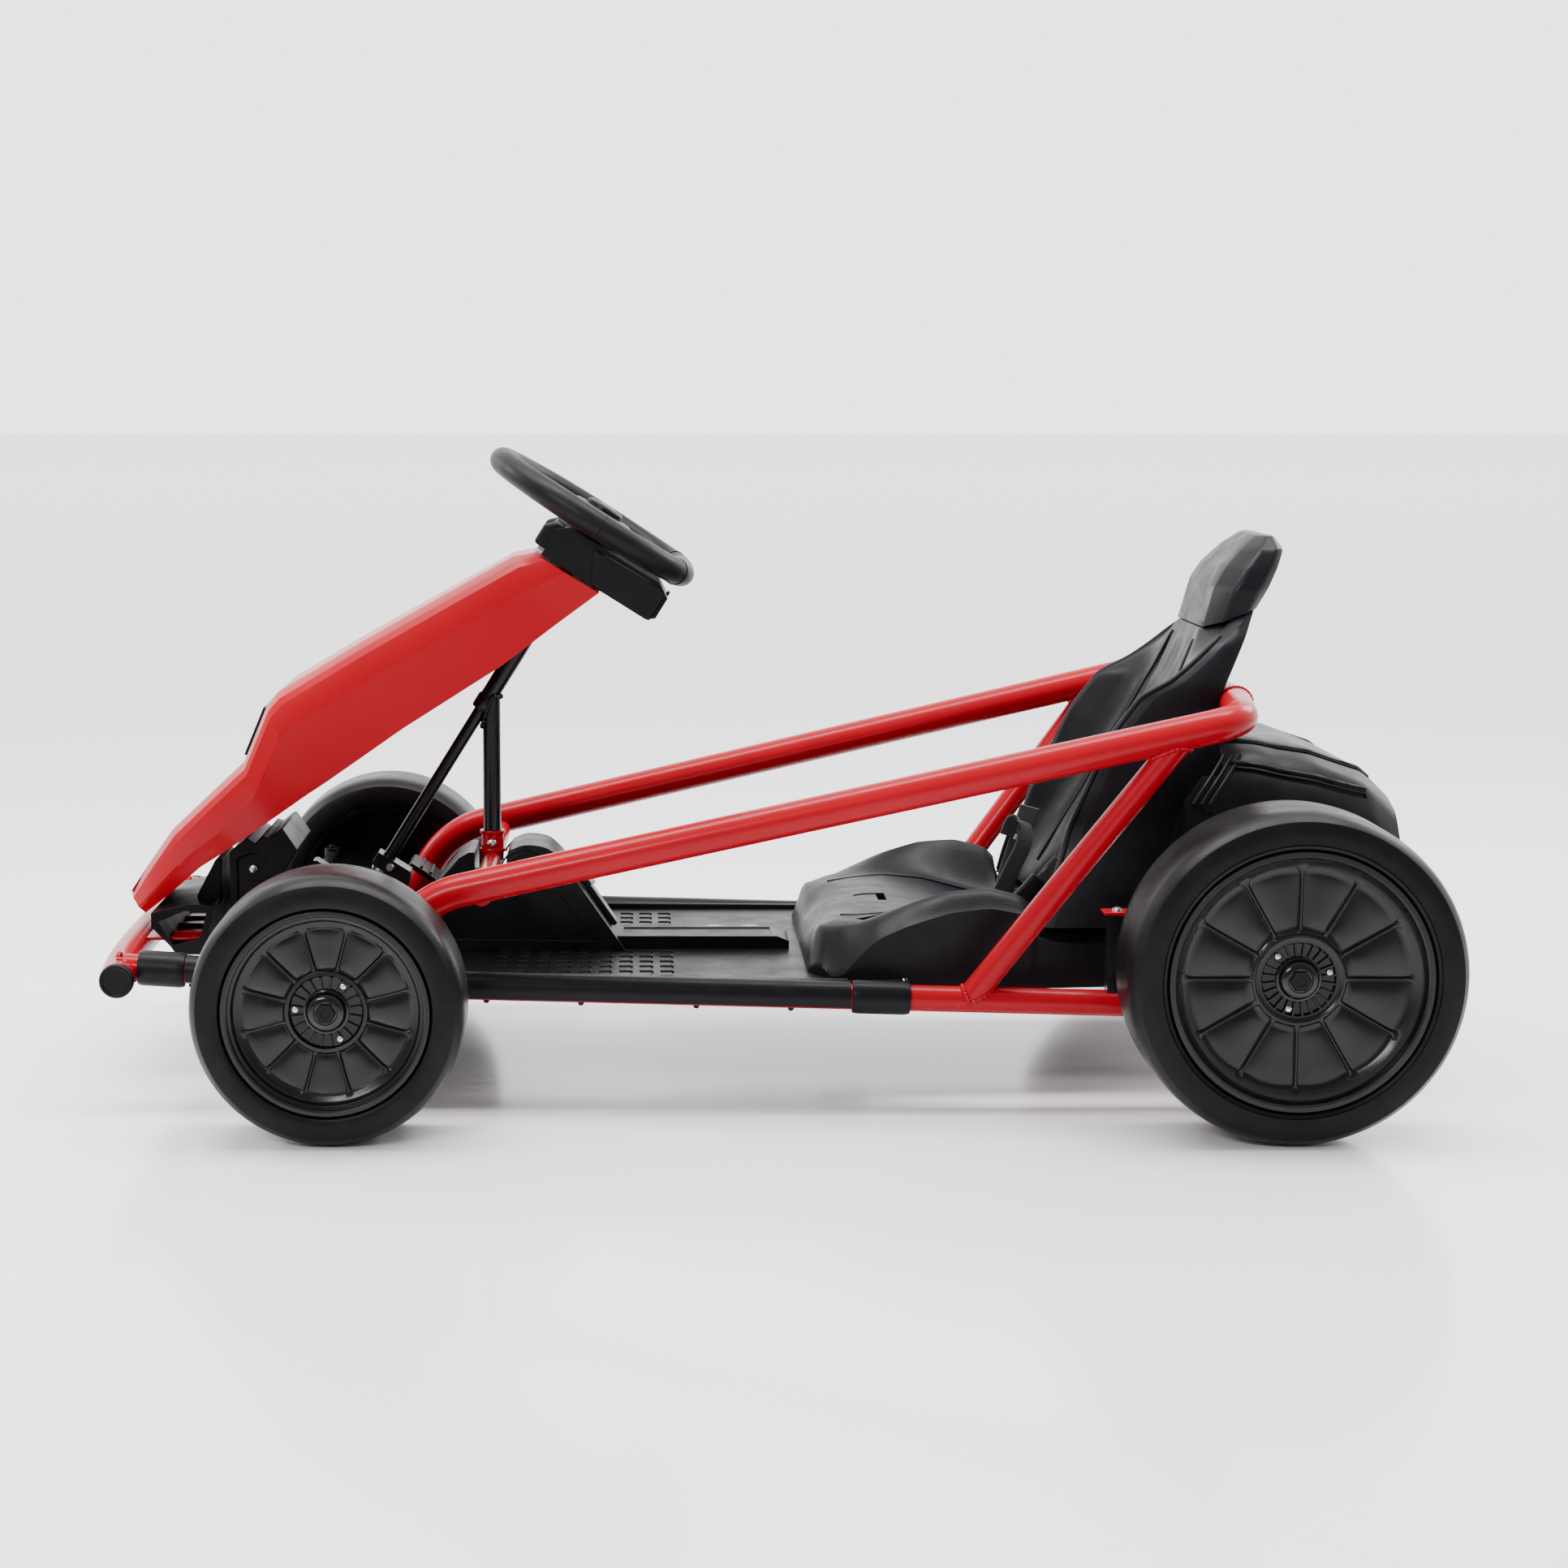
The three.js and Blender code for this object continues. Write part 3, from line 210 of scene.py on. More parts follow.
def moulded(name, colour, roughness, grain=900.0, depth=0.00008, specular=0.12):
    """Moulded plastic: fine spark-eroded grain, uneven gloss and a trace of dust."""
    material, tree, shader = new_material(name, colour, roughness, Specular_IOR_Level=specular)
    dusty = tuple(1.35 * c + 0.001 for c in colour)
    tree.links.new(ramp(tree, noise(tree, 22, 6, 0.65), colour, dusty), shader.inputs["Base Color"])
    gloss = noise(tree, 35, 5, 0.6)
    tree.links.new(ramp(tree, gloss, roughness - 0.06, roughness + 0.1), shader.inputs["Roughness"])
    add_bump(tree, shader, noise(tree, grain, 2), depth, 0.6)
    return material


def leather_grained(name, colour, roughness):
    """Seat moulding with a pebbled grain."""
    material, tree, shader = new_material(name, colour, roughness, Specular_IOR_Level=0.12)
    cells = tree.nodes.new("ShaderNodeTexVoronoi")
    cells.feature = "SMOOTH_F1"
    cells.inputs["Scale"].default_value = 620
    tree.links.new(coordinates(tree), cells.inputs["Vector"])
    lighter = tuple(1.3 * c + 0.001 for c in colour)
    tree.links.new(ramp(tree, noise(tree, 18, 6, 0.6), colour, lighter), shader.inputs["Base Color"])
    tree.links.new(ramp(tree, noise(tree, 48, 4), roughness - 0.05, roughness + 0.09),
                   shader.inputs["Roughness"])
    add_bump(tree, shader, cells.outputs["Distance"], 0.00025, 0.35)
    return material


def rubbery(name, colour, roughness):
    """Tyre compound: dull, a little scuffed, with a faint moulding texture."""
    material, tree, shader = new_material(name, colour, roughness, Specular_IOR_Level=0.12)
    scuffed = tuple(1.5 * c + 0.002 for c in colour)
    tree.links.new(ramp(tree, noise(tree, 30, 8, 0.7), colour, scuffed, (0.42, 0.85)),
                   shader.inputs["Base Color"])
    tree.links.new(ramp(tree, noise(tree, 26, 5, 0.6), roughness - 0.07, roughness + 0.1),
                   shader.inputs["Roughness"])
    add_bump(tree, shader, noise(tree, 700, 3), 0.0001, 0.5)
    return material


def woven(name, colour):
    """Seat-belt webbing: ribs across the strap with a fine twill; the colour is painted lighter on the rib
    tops and darker in the grooves, following the bump.
    """
    material, tree, shader = new_material(name, colour, 0.75, Sheen_Weight=0.35, Sheen_Roughness=0.5)
    ribs = tree.nodes.new("ShaderNodeTexWave")
    ribs.inputs["Scale"].default_value = 240
    ribs.inputs["Distortion"].default_value = 1.5
    ribs.bands_direction = "Z"
    tree.links.new(coordinates(tree), ribs.inputs["Vector"])
    # Painted highlight and shade: the rib wave that raises the bump also lightens the rib tops and leaves the
    # grooves dark.
    lighter = tuple(2.2 * c for c in colour)
    tree.links.new(ramp(tree, ribs.outputs["Fac"], colour, lighter), shader.inputs["Base Color"])
    add_bump(tree, shader, ribs.outputs["Fac"], 0.0004, 0.8)
    return material


def metal(name, colour, roughness, stretch=(1, 1, 30)):
    """Turned or brushed metal with fine directional marks."""
    material, tree, shader = new_material(name, colour, roughness, Metallic=1.0)
    marks = noise(tree, 90, 5, 0.6, stretch)
    tree.links.new(ramp(tree, marks, roughness - 0.1, roughness + 0.15), shader.inputs["Roughness"])
    duller = tuple(0.75 * c for c in colour)
    tree.links.new(ramp(tree, noise(tree, 40, 4), duller, colour), shader.inputs["Base Color"])
    add_bump(tree, shader, marks, 0.00004, 0.5)
    return material


def lens_material():
    """Frosted lamp lens; its flutes are painted lighter on the ridges and darker in the grooves, following
    the bump.
    """
    material, tree, shader = new_material("lens", (0.62, 0.62, 0.64), 0.18,
                                          Coat_Weight=0.8, Coat_Roughness=0.05)
    flutes = tree.nodes.new("ShaderNodeTexWave")
    flutes.inputs["Scale"].default_value = 90
    flutes.bands_direction = "Y"
    tree.links.new(coordinates(tree), flutes.inputs["Vector"])
    # Painted highlight and shade: the flute wave that drives the bump also lightens the ridges and darkens
    # the grooves.
    tree.links.new(ramp(tree, flutes.outputs["Fac"], (0.5, 0.5, 0.52), (0.74, 0.74, 0.76)),
                   shader.inputs["Base Color"])
    add_bump(tree, shader, flutes.outputs["Fac"], 0.0004, 0.4)
    return material


RED = painted("red_paint", (0.34, 0.0006, 0.009), 0.24)
FAIRING_RED = painted("red_fairing", (0.38, 0.0006, 0.009), 0.3)
BLACK_PAINT = moulded("black_paint", (0.0032, 0.0032, 0.0036), 0.28, 500, 0.00006, 0.25)
BLACK = moulded("black_plastic", (0.0034, 0.0031, 0.004), 0.36)
# Near-black for the wheel grip's seams and the rear cover's dots, and also painted shade: the plate under the
# seat base's belt slot stands in for the dark inside the hollow seat.
SEAM_DOT_AND_SHADE_BLACK = moulded("shadow_black", (0.001, 0.001, 0.0012), 0.6)
CHARCOAL = moulded("charcoal_plastic", (0.0045, 0.0042, 0.0054), 0.34)
SEAT = leather_grained("seat_plastic", (0.0052, 0.005, 0.0066), 0.36)
GRIP = moulded("grip", (0.0045, 0.0043, 0.005), 0.4, 1400, 0.00012)
RIM = moulded("rim_plastic", (0.0022, 0.002, 0.0028), 0.2, 900, 0.00004, 0.3)
GLOSS_BLACK = moulded("gloss_black", (0.002, 0.002, 0.0024), 0.14, 1500, 0.00002, 0.4)
TYRE = rubbery("tyre", (0.0034, 0.003, 0.004), 0.36)
WEBBING = woven("webbing", (0.0035, 0.0035, 0.0042))
STEEL = metal("steel", (0.55, 0.55, 0.57), 0.3)
CAST = metal("cast_aluminium", (0.42, 0.42, 0.44), 0.5, (1, 1, 1))
LENS = lens_material()

# body, colour slot and material of the pieces that are fixed to the frame
ON_FRAME_RED = ("frame", "frame_red", RED)
ON_FRAME_BLACK = ("frame", "black_plastic", BLACK)
ON_FRAME_CHARCOAL = ("frame", "black_plastic", CHARCOAL)
ON_FRAME_STEEL = ("frame", "steel", STEEL)
ON_FRAME_SEAT = ("frame", "seat_plastic", SEAT)
ON_FRAME_WEBBING = ("frame", "belt_webbing", WEBBING)


# ------------------------------------------------------------ shapes: (points, faces) in millimetres

def unit(vector):
    vector = np.asarray(vector, float)
    return vector / np.linalg.norm(vector)


def full_turn(count):
    """Evenly spaced angles, once round."""
    return np.linspace(0, 2 * math.pi, count, endpoint=False)


def spline(points, count):
    """Points on a smooth curve through the given points (or rows of points)."""
    p = np.asarray(points, float)
    padded = np.concatenate([2 * p[:1] - p[1:2], p, 2 * p[-1:] - p[-2:-1]])
    spans = len(p) - 1
    t = np.linspace(0, spans, count)
    i = np.minimum(t.astype(int), spans - 1)
    f = (t - i).reshape((-1,) + (1,) * (p.ndim - 1))
    a, b, c, d = (padded[i + k] for k in range(4))
    return 0.5 * (2 * b + (c - a) * f + (2 * a - 5 * b + 4 * c - d) * f**2 + (3 * b - a - 3 * c + d) * f**3)


def smooth_rows(table, steps, share):
    """A table's rows with more between them, part smooth curve and part straight line."""
    rows = np.array(table, float)
    t = np.linspace(0, len(rows) - 1, steps)
    straight = np.stack([np.interp(t, range(len(rows)), rows[:, k]) for k in range(rows.shape[1])], 1)
    return share * spline(rows, steps) + (1 - share) * straight


def skin(rings, loop=False):
    """Faces between rings of equal point count; the ends are closed unless the rings form a loop."""
    rings = np.asarray(rings, float)
    count, around = rings.shape[:2]
    faces = []
    for i in range(count if loop else count - 1):
        a, b = i * around, ((i + 1) % count) * around
        faces += [(a + j, a + (j + 1) % around, b + (j + 1) % around, b + j) for j in range(around)]
    if not loop:
        faces += [tuple(range(around - 1, -1, -1)), tuple((count - 1) * around + j for j in range(around))]
    return rings.reshape(-1, 3), faces


def circle(radius, sides):
    angles = full_turn(sides)
    return np.stack([radius * np.cos(angles), radius * np.sin(angles)], 1)


def sweep(path, section, loop=False, scales=None):
    """A section of [side, up] points carried along a path without twist."""
    path = np.asarray(path, float)
    ahead = np.roll(path, -1, 0) - np.roll(path, 1, 0) if loop else np.gradient(path, axis=0)
    first = unit(ahead[0])
    up = np.eye(3)[np.argmin(np.abs(first))]
    rings = []
    for i, (point, direction) in enumerate(zip(path, ahead)):
        direction = unit(direction)
        up = unit(up - direction * up.dot(direction))
        side = np.cross(direction, up)
        scale = 1.0 if scales is None else scales[i]
        rings.append(point + scale * (section[:, :1] * side + section[:, 1:] * up))
    return skin(rings, loop)


def tube(path, radius, sides=40, loop=False, scales=None):
    return sweep(path, circle(radius, sides), loop, scales)


def rounded_path(corners, bend, steps=10):
    """A polyline with its inner corners turned into arcs of the bend radius."""
    corners = [np.asarray(c, float) for c in corners]
    path = [corners[0]]
    for before, corner, after in zip(corners, corners[1:], corners[2:]):
        back, ahead = unit(before - corner), unit(after - corner)
        half = math.acos(np.clip(back.dot(ahead), -1, 1)) / 2
        start = corner + back * bend / math.tan(half)
        end = corner + ahead * bend / math.tan(half)
        centre = corner + unit(back + ahead) * bend / math.sin(half)
        for k in range(steps + 1):
            blend = (1 - k / steps) * (start - centre) + k / steps * (end - centre)
            path.append(centre + unit(blend) * bend)
    path.append(corners[-1])
    return np.array(path)


def lathe(profile, centre, segments=144, flip=1):
    """Profile of [radius, along] turned about an axle along Y; flip -1 faces it the other way."""
    angles = full_turn(segments)
    rings = [[(centre[0] + r * math.cos(a), centre[1] + flip * y, centre[2] + r * math.sin(a))
              for r, y in profile]
             for a in angles]
    return skin(rings, loop=True)


def prism(outline, y0, y1):
    """Outline of [x, z] points, extruded across the kart."""
    rings = [[(x, y, z) for x, z in outline] for y in (y0, y1)]
    return skin(rings)


def block(x0, x1, y0, y1, z0, z1):
    return prism([(x0, z0), (x1, z0), (x1, z1), (x0, z1)], y0, y1)


def mirrored_ring(half, place):
    """A closed ring from half an outline whose first number is the distance from the middle plane."""
    right = [place(across, other) for across, other in half]
    left = [place(-across, other) for across, other in reversed(half) if across > 0]
    return right + left


def join(*shapes):
    points, faces, offset = [], [], 0
    for p, f in shapes:
        points.append(np.asarray(p, float))
        faces += [tuple(i + offset for i in face) for face in f]
        offset += len(p)
    return np.concatenate(points), faces


def column(shape):
    """From the steering column's frame (rearward-down, across, up the column) to the kart's."""
    points, faces = shape
    cos, sin = math.cos(COLUMN_TILT), math.sin(COLUMN_TILT)
    x = HUB[0] + cos * points[:, 0] + sin * points[:, 2]
    z = HUB[2] - sin * points[:, 0] + cos * points[:, 2]
    return np.stack([x, HUB[1] + points[:, 1], z], 1), faces


# ------------------------------------------------------------ meshes and pieces

def new_object(name, shape):
    mesh = bpy.data.meshes.new(name)
    points, faces = shape
    mesh.from_pydata((np.asarray(points) * MM).tolist(), [], faces)
    solid = bmesh.new()
    solid.from_mesh(mesh)
    bmesh.ops.remove_doubles(solid, verts=solid.verts, dist=1e-6)
    bmesh.ops.recalc_face_normals(solid, faces=solid.faces)
    solid.to_mesh(mesh)
    solid.free()
    obj = bpy.data.objects.new(name, mesh)
    bpy.context.scene.collection.objects.link(obj)
    return obj


def carve(obj, *cutters):
    """Cuts shapes out of an object and keeps the result as its mesh."""
    tools = []
    for i, shape in enumerate(cutters):
        tool = new_object(f"{obj.name}_cutter_{i}", shape)
        modifier = obj.modifiers.new(tool.name, "BOOLEAN")
        modifier.object = tool
        modifier.solver = "EXACT"
        tools.append(tool)
    bpy.context.view_layer.update()
    result = bpy.data.meshes.new_from_object(obj.evaluated_get(bpy.context.evaluated_depsgraph_get()))
    obj.modifiers.clear()
    obj.data = result
    for tool in tools:
        bpy.data.objects.remove(tool)


def soften(obj, bevel, steps=3, angle=30):
    """Rounds the edges and shades the rest smooth."""
    mesh = obj.data
    mesh.polygons.foreach_set("use_smooth", [True] * len(mesh.polygons))
    if bevel:
        modifier = obj.modifiers.new("rounded", "BEVEL")
        modifier.width = bevel * MM
        modifier.segments = steps
        modifier.limit_method = "ANGLE"
        modifier.angle_limit = math.radians(angle)
        modifier.harden_normals = True
        modifier.miter_outer = "MITER_ARC"
    else:
        mesh.set_sharp_from_angle(angle=math.radians(angle))


def add_piece(name, shape, body, slot, material, stands_for=(), bevel=0.0, steps=3, angle=30, cut=()):
    obj = new_object(name, shape)
    if cut:
        carve(obj, *cut)
    obj.data.materials.clear()
    obj.data.materials.append(material)
    soften(obj, bevel, steps, angle)
    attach(obj, body)
    if stands_for:
        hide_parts(*stands_for)
    return obj


def dress(node, material, bevel=0.6, angle=34):
    """Keeps a CAD node's shape and gives it smooth shading, rounded edges and a material."""
    obj = frame["nodes"][node]
    mesh = obj.data
    normals = mesh.attributes.get("custom_normal")
    if normals:
        mesh.attributes.remove(normals)
    mesh.materials.clear()
    mesh.materials.append(material)
    mesh.polygons.foreach_set("use_smooth", [True] * len(mesh.polygons))
    weld = obj.modifiers.new("weld", "WELD")
    weld.merge_threshold = 0.00002
    modifier = obj.modifiers.new("rounded", "BEVEL")
    modifier.width = bevel * MM
    modifier.segments = 2
    modifier.limit_method = "ANGLE"
    modifier.angle_limit = math.radians(angle)
    modifier.harden_normals = True


# ------------------------------------------------------------ tube frame

def lower_z(x):
    slope = 0.026 if x > LOWER_BEND_X else 0.062
    return PAN_TOP - slope * (x - LOWER_BEND_X)


def upper_point(x, sign):
    return np.array((x, sign * (222.9 + 0.05 * x), 275.6 + 0.228 * x))


def lower_path(sign, x0, x1, steps=24):
    return np.array([(x, sign * RAIL_Y, lower_z(x)) for x in np.linspace(x0, x1, steps)])


def upper_path(sign):
    foot = (-363, sign * RAIL_Y, 133)
    hoop_end = (HOOP_X, sign * HOOP_HALF, HOOP_Z)
    corners = [foot, upper_point(-320, sign), upper_point(444, sign), hoop_end]
    front = rounded_path(corners[:3], 90, 12)
    rear = rounded_path([corners[1], corners[2], corners[3]], 40, 14)
    middle = [upper_point(x, sign) for x in np.linspace(-240, 380, 12)]
    return np.concatenate([front[:-1], middle, rear[1:]])


def weld_ripple(count, ripples, depth):
    """Sizes round a weld bead, swelling and shrinking a number of times."""
    return 1 + depth * np.cos(np.arange(count) * 2 * math.pi * ripples / count)


def weld_bead(name, start, toward, radius, rail_point, rail_direction, rail_radius):
    """Rippled bead where a tube that starts inside a rail leaves the rail's surface."""
    axis = unit(np.subtract(toward, start))
    side = unit(np.cross(axis, (0.3, 1, 0.1)))
    up = np.cross(axis, side)
    rail_direction = unit(rail_direction)
    path = []
    for angle in full_turn(120):
        edge = np.asarray(start) + radius * (math.cos(angle) * side + math.sin(angle) * up)
        low, high = 0.0, 60.0
        for _ in range(24):
            middle = (low + high) / 2
            offset = edge + middle * axis - rail_point
            distance = np.linalg.norm(offset - rail_direction * offset.dot(rail_direction))
            low, high = (middle, high) if distance < rail_radius else (low, middle)
        path.append(edge + low * axis)
    add_piece(name, tube(path, 2.3, 12, True, weld_ripple(120, 28, 0.16)), *ON_FRAME_RED)


def ring_bead(name, centre, radius, thickness=1.6):
    """Weld seam around a tube that runs across the kart."""
    angles = full_turn(120)
    path = [(centre[0] + radius * math.cos(a), centre[1], centre[2] + radius * math.sin(a)) for a in angles]
    add_piece(name, tube(path, thickness, 10, True, weld_ripple(120, 26, 0.18)), *ON_FRAME_RED)


def add_rails():
    for name, sign in SIDES:
        add_piece(f"lower_rail_{name}_tube", tube(lower_path(sign, RAIL_FRONT, RAIL_REAR), RAIL, 48),
                  *ON_FRAME_RED,
                  (f"lower_rail_{name}",), 1.2)
        add_piece(f"upper_rail_{name}_tube", tube(upper_path(sign), TUBE, 56), *ON_FRAME_RED,
                  (f"upper_rail_{name}",))
        low = np.array((STRUT_FOOT_X, sign * RAIL_Y, lower_z(STRUT_FOOT_X)))
        high = upper_point(STRUT_TOP_X, sign)
        add_piece(f"strut_{name}_tube", tube(np.linspace(low, high, 8), RAIL, 48), *ON_FRAME_RED,
                  (f"strut_{name}",))
        weld_bead(f"strut_{name}_low_weld", low, high, RAIL, low, (1, 0, -0.026), RAIL)
        rail_direction = upper_point(400, sign) - upper_point(0, sign)
        weld_bead(f"strut_{name}_high_weld", high, low, RAIL, high, rail_direction, TUBE)
        ring_bead(f"hoop_{name}_weld", (HOOP_X, sign * HOOP_HALF, HOOP_Z), TUBE + 0.2)
        plug = disc_x(RAIL - 1.2, RAIL_REAR - 2, RAIL_REAR + 3, sign * RAIL_Y, lower_z(RAIL_REAR))
        add_piece(f"rail_{name}_plug", plug, *ON_FRAME_BLACK, (), 1.0)
    hoop = np.array([(HOOP_X, y, HOOP_Z) for y in np.linspace(-HOOP_HALF, HOOP_HALF, 12)])
    add_piece("rear_hoop_tube", tube(hoop, TUBE, 56), *ON_FRAME_RED, ("rear_hoop",))


def disc_x(radius, x0, x1, y, z, sides=32):
    ring = circle(radius, sides)
    return skin([[(x, y + a, z + b) for a, b in ring] for x in (x0, x1)])


def bumper_x(y):
    """The bow of the bumper bar: how far forward its axis lies at a distance from the middle."""
    return BUMPER_X + BUMPER_SWEEP * abs(y / BUMPER_HALF) ** 3


def bumper_path(half_span, steps=40):
    return np.array([(bumper_x(y), y, BUMPER_Z) for y in np.linspace(-half_span, half_span, steps)])


def add_bumper():
    plate = block(-607, -548, -80, 80, 137, 140)
    ribs = [block(-590, -552, y - 1.5, y + 1.5, 139, 143) for y in (-60, -20, 20, 60)]
    add_piece("bumper_tube", tube(bumper_path(235), TUBE, 56), *ON_FRAME_RED, ("front_bumper_bar",))
    add_piece("front_plate", join(plate, *ribs), *ON_FRAME_RED, (), 0.8)
    for name, sign in SIDES:
        x = BUMPER_X + BUMPER_SWEEP
        profile = [(0.01, 235), (15.9, 235), (16.4, 236), (16.4, 242),
                   (15.2, 244), (13, 244.2), (12, 243.4), (0.01, 243.4)]
        cap = lathe(profile, (x, 0, BUMPER_Z), 64, sign)
        add_piece(f"bumper_end_{name}", cap, *ON_FRAME_BLACK, (f"bumper_cap_{name}",), 0.5)
        weld = [(x0, sign * y0, z0) for x0, y0, z0 in rail_bumper_seam()]
        ripple = weld_ripple(len(weld), 24, 0.16)
        add_piece(f"bumper_{name}_weld", tube(weld, 2.2, 10, True, ripple), *ON_FRAME_RED)


def rail_bumper_seam():
    """Where a lower rail meets the back of the bumper bar, on the right-hand side."""
    seam = []
    bar_x = bumper_x(RAIL_Y)
    for angle in full_turn(120):
        dy, dz = RAIL * math.cos(angle), RAIL * math.sin(angle)
        z = lower_z(-600) + dz
        x = bar_x + math.sqrt(max(TUBE**2 - (z - BUMPER_Z) ** 2, 1.0))
        seam.append((x, RAIL_Y + dy, z))
    return seam


def add_collars():
    for name, sign in SIDES:
        for node, x0, x1, radius in (("rail_collar", 88, 143, 16.3), ("front_collar", -590, -546, 16.9)):
            path = lower_path(sign, x0, x1, 12)
            stations = np.linspace(0, 1, 12)
            bulge = 1 - 0.06 * (np.abs(2 * stations - 1) > 0.93)
            add_piece(f"{node}_{name}_sleeve", tube(path, radius, 48, False, bulge), *ON_FRAME_BLACK,
                      (f"{node}_{name}",), 0.8)


# ------------------------------------------------------------ floor pan

def pierced_plate(xs, ys, is_hole, z0, z1):
    """A plate on a grid of lines, open wherever is_hole(x, y) holds at a cell's centre."""
    points = [(x, y, z) for z in (z0, z1) for x in xs for y in ys]
    across = len(ys)
    layer = len(xs) * across
    solid = np.array([[not is_hole((xs[i] + xs[i + 1]) / 2, (ys[j] + ys[j + 1]) / 2)
                       for j in range(across - 1)]
                      for i in range(len(xs) - 1)])
    faces = []
    for i, j in zip(*np.nonzero(solid)):
        a = i * across + j
        corners = (a, a + across, a + across + 1, a + 1)
        faces.append(tuple(c + layer for c in corners))
        faces.append(tuple(reversed(corners)))
        neighbours = ((i, j - 1), (i + 1, j), (i, j + 1), (i - 1, j))
        for k, (p, q) in enumerate(neighbours):
            if 0 <= p < solid.shape[0] and 0 <= q < solid.shape[1] and solid[p, q]:
                continue
            c, d = corners[k], corners[(k + 1) % 4]
            faces.append((c, d, d + layer, c + layer))
    return np.array(points, float), faces


SLOT_PITCH = (20.2, 24.0)
SLOT_SIZE = (12.5, 9.5)
SLOT_FIRST = (-249.0, 43.0)
SLOT_COUNT = (9, 6)


def slot_centres():
    xs = [SLOT_FIRST[0] + SLOT_PITCH[0] * i for i in range(SLOT_COUNT[0])]
    ys = [SLOT_FIRST[1] + SLOT_PITCH[1] * j for j in range(SLOT_COUNT[1])]
    return xs, ys


def in_slot(x, y):
    xs, ys = slot_centres()
    hit_x = any(abs(x - c) < SLOT_SIZE[0] / 2 for c in xs)
    return hit_x and any(abs(abs(y) - c) < SLOT_SIZE[1] / 2 for c in ys)


def add_floor_pan():
    slot_x, slot_y = slot_centres()
    xs = sorted([-545, -480, -400, -320, 38, 88, 140] + [c + s * SLOT_SIZE[0] / 2
                                                         for c in slot_x for s in (-1, 1)])
    half = [c + s * SLOT_SIZE[1] / 2 for c in slot_y for s in (-1, 1)] + [190, 198]
    ys = sorted([-y for y in half] + half)
    plate = pierced_plate(xs, ys, in_slot, FLOOR_Z - 3, FLOOR_Z)
    add_piece("floor_plate", plate, *ON_FRAME_BLACK, ("floor_pan",), 0.7, 2)
    louvres = []
    for sign in (-1, 1):
        for x in slot_x:
            for y in slot_y:
                lip = [(x + 4.2, FLOOR_Z - 1), (x + 7.4, FLOOR_Z - 1),
                       (x + 7.0, FLOOR_Z + 1.6), (x + 5.2, FLOOR_Z + 1.6)]
                louvres.append(prism(lip, sign * y - 5.2, sign * y + 5.2))
    add_piece("floor_louvres", join(*louvres), *ON_FRAME_BLACK, (), 0.4, 2)
    for name, sign in SIDES:
        outer = [(14.8 * math.cos(a), 14.8 * math.sin(a)) for a in np.radians(np.linspace(-38, 205, 30))]
        inner = [(12.9 * math.cos(a), 12.9 * math.sin(a)) for a in np.radians(np.linspace(205, -38, 30))]
        section = np.array(outer + inner)
        rings = [[(x, sign * (RAIL_Y + a), lower_z(x) + b) for a, b in section]
                 for x in np.linspace(-545, 86.5, 26)]
        add_piece(f"floor_rim_{name}", skin(rings), *ON_FRAME_BLACK, (), 0.4, 2)
        step = prism([(-545, 117), (86, 117), (86, 122.5), (-300, 125.5), (-545, 134)],
                     sign * 194 - 3, sign * 194 + 3)
        add_piece(f"floor_step_{name}", step, *ON_FRAME_BLACK, (), 1.5)
    spine = prism([(-150, 117), (-150, 128), (-140, 131), (26, 131), (38, 126), (38, 117)], -28, 28)
    groove = prism([(-130, 129.6), (20, 129.6), (20, 134), (-130, 134)], -20, 20)
    add_piece("floor_spine", spine, *ON_FRAME_BLACK, (), 2.2, 4, cut=(groove,))
    caps = [lathe_z([(0.01, 3.2), (8, 3.1), (13, 2.2), (15.5, 0.2), (15.5, -1), (0.01, -1)],
                    (x, 78.5, FLOOR_Z), (1, 0.55))
            for x in (-35, 3)]
    add_piece("floor_caps", join(*caps), *ON_FRAME_STEEL)
    bolts = [lathe_z(bolt_profile(3.0), (x, sign * RAIL_Y, lower_z(x) - RAIL + 0.4), (1, 1), -1)
             for sign in (-1, 1) for x in (-260, -170, -60, 30, 110)]
    add_piece("floor_underside_bolts", join(*bolts), *ON_FRAME_BLACK)


def bolt_profile(radius):
    return [(0.01, 3.4), (0.55 * radius, 3.2), (0.85 * radius, 2.4), (radius, 0.8),
            (radius, -1.5), (0.01, -1.5)]


def lathe_z(profile, centre, stretch=(1, 1), flip=1, segments=40):
    """Profile of [radius, height] turned about an upright axis, stretched along and across."""
    angles = full_turn(segments)
    rings = [[(centre[0] + stretch[0] * r * math.cos(a), centre[1] + stretch[1] * r * math.sin(a),
               centre[2] + flip * z)
              for r, z in profile] for a in angles]
    return skin(rings, loop=True)


# ------------------------------------------------------------ front axle and column

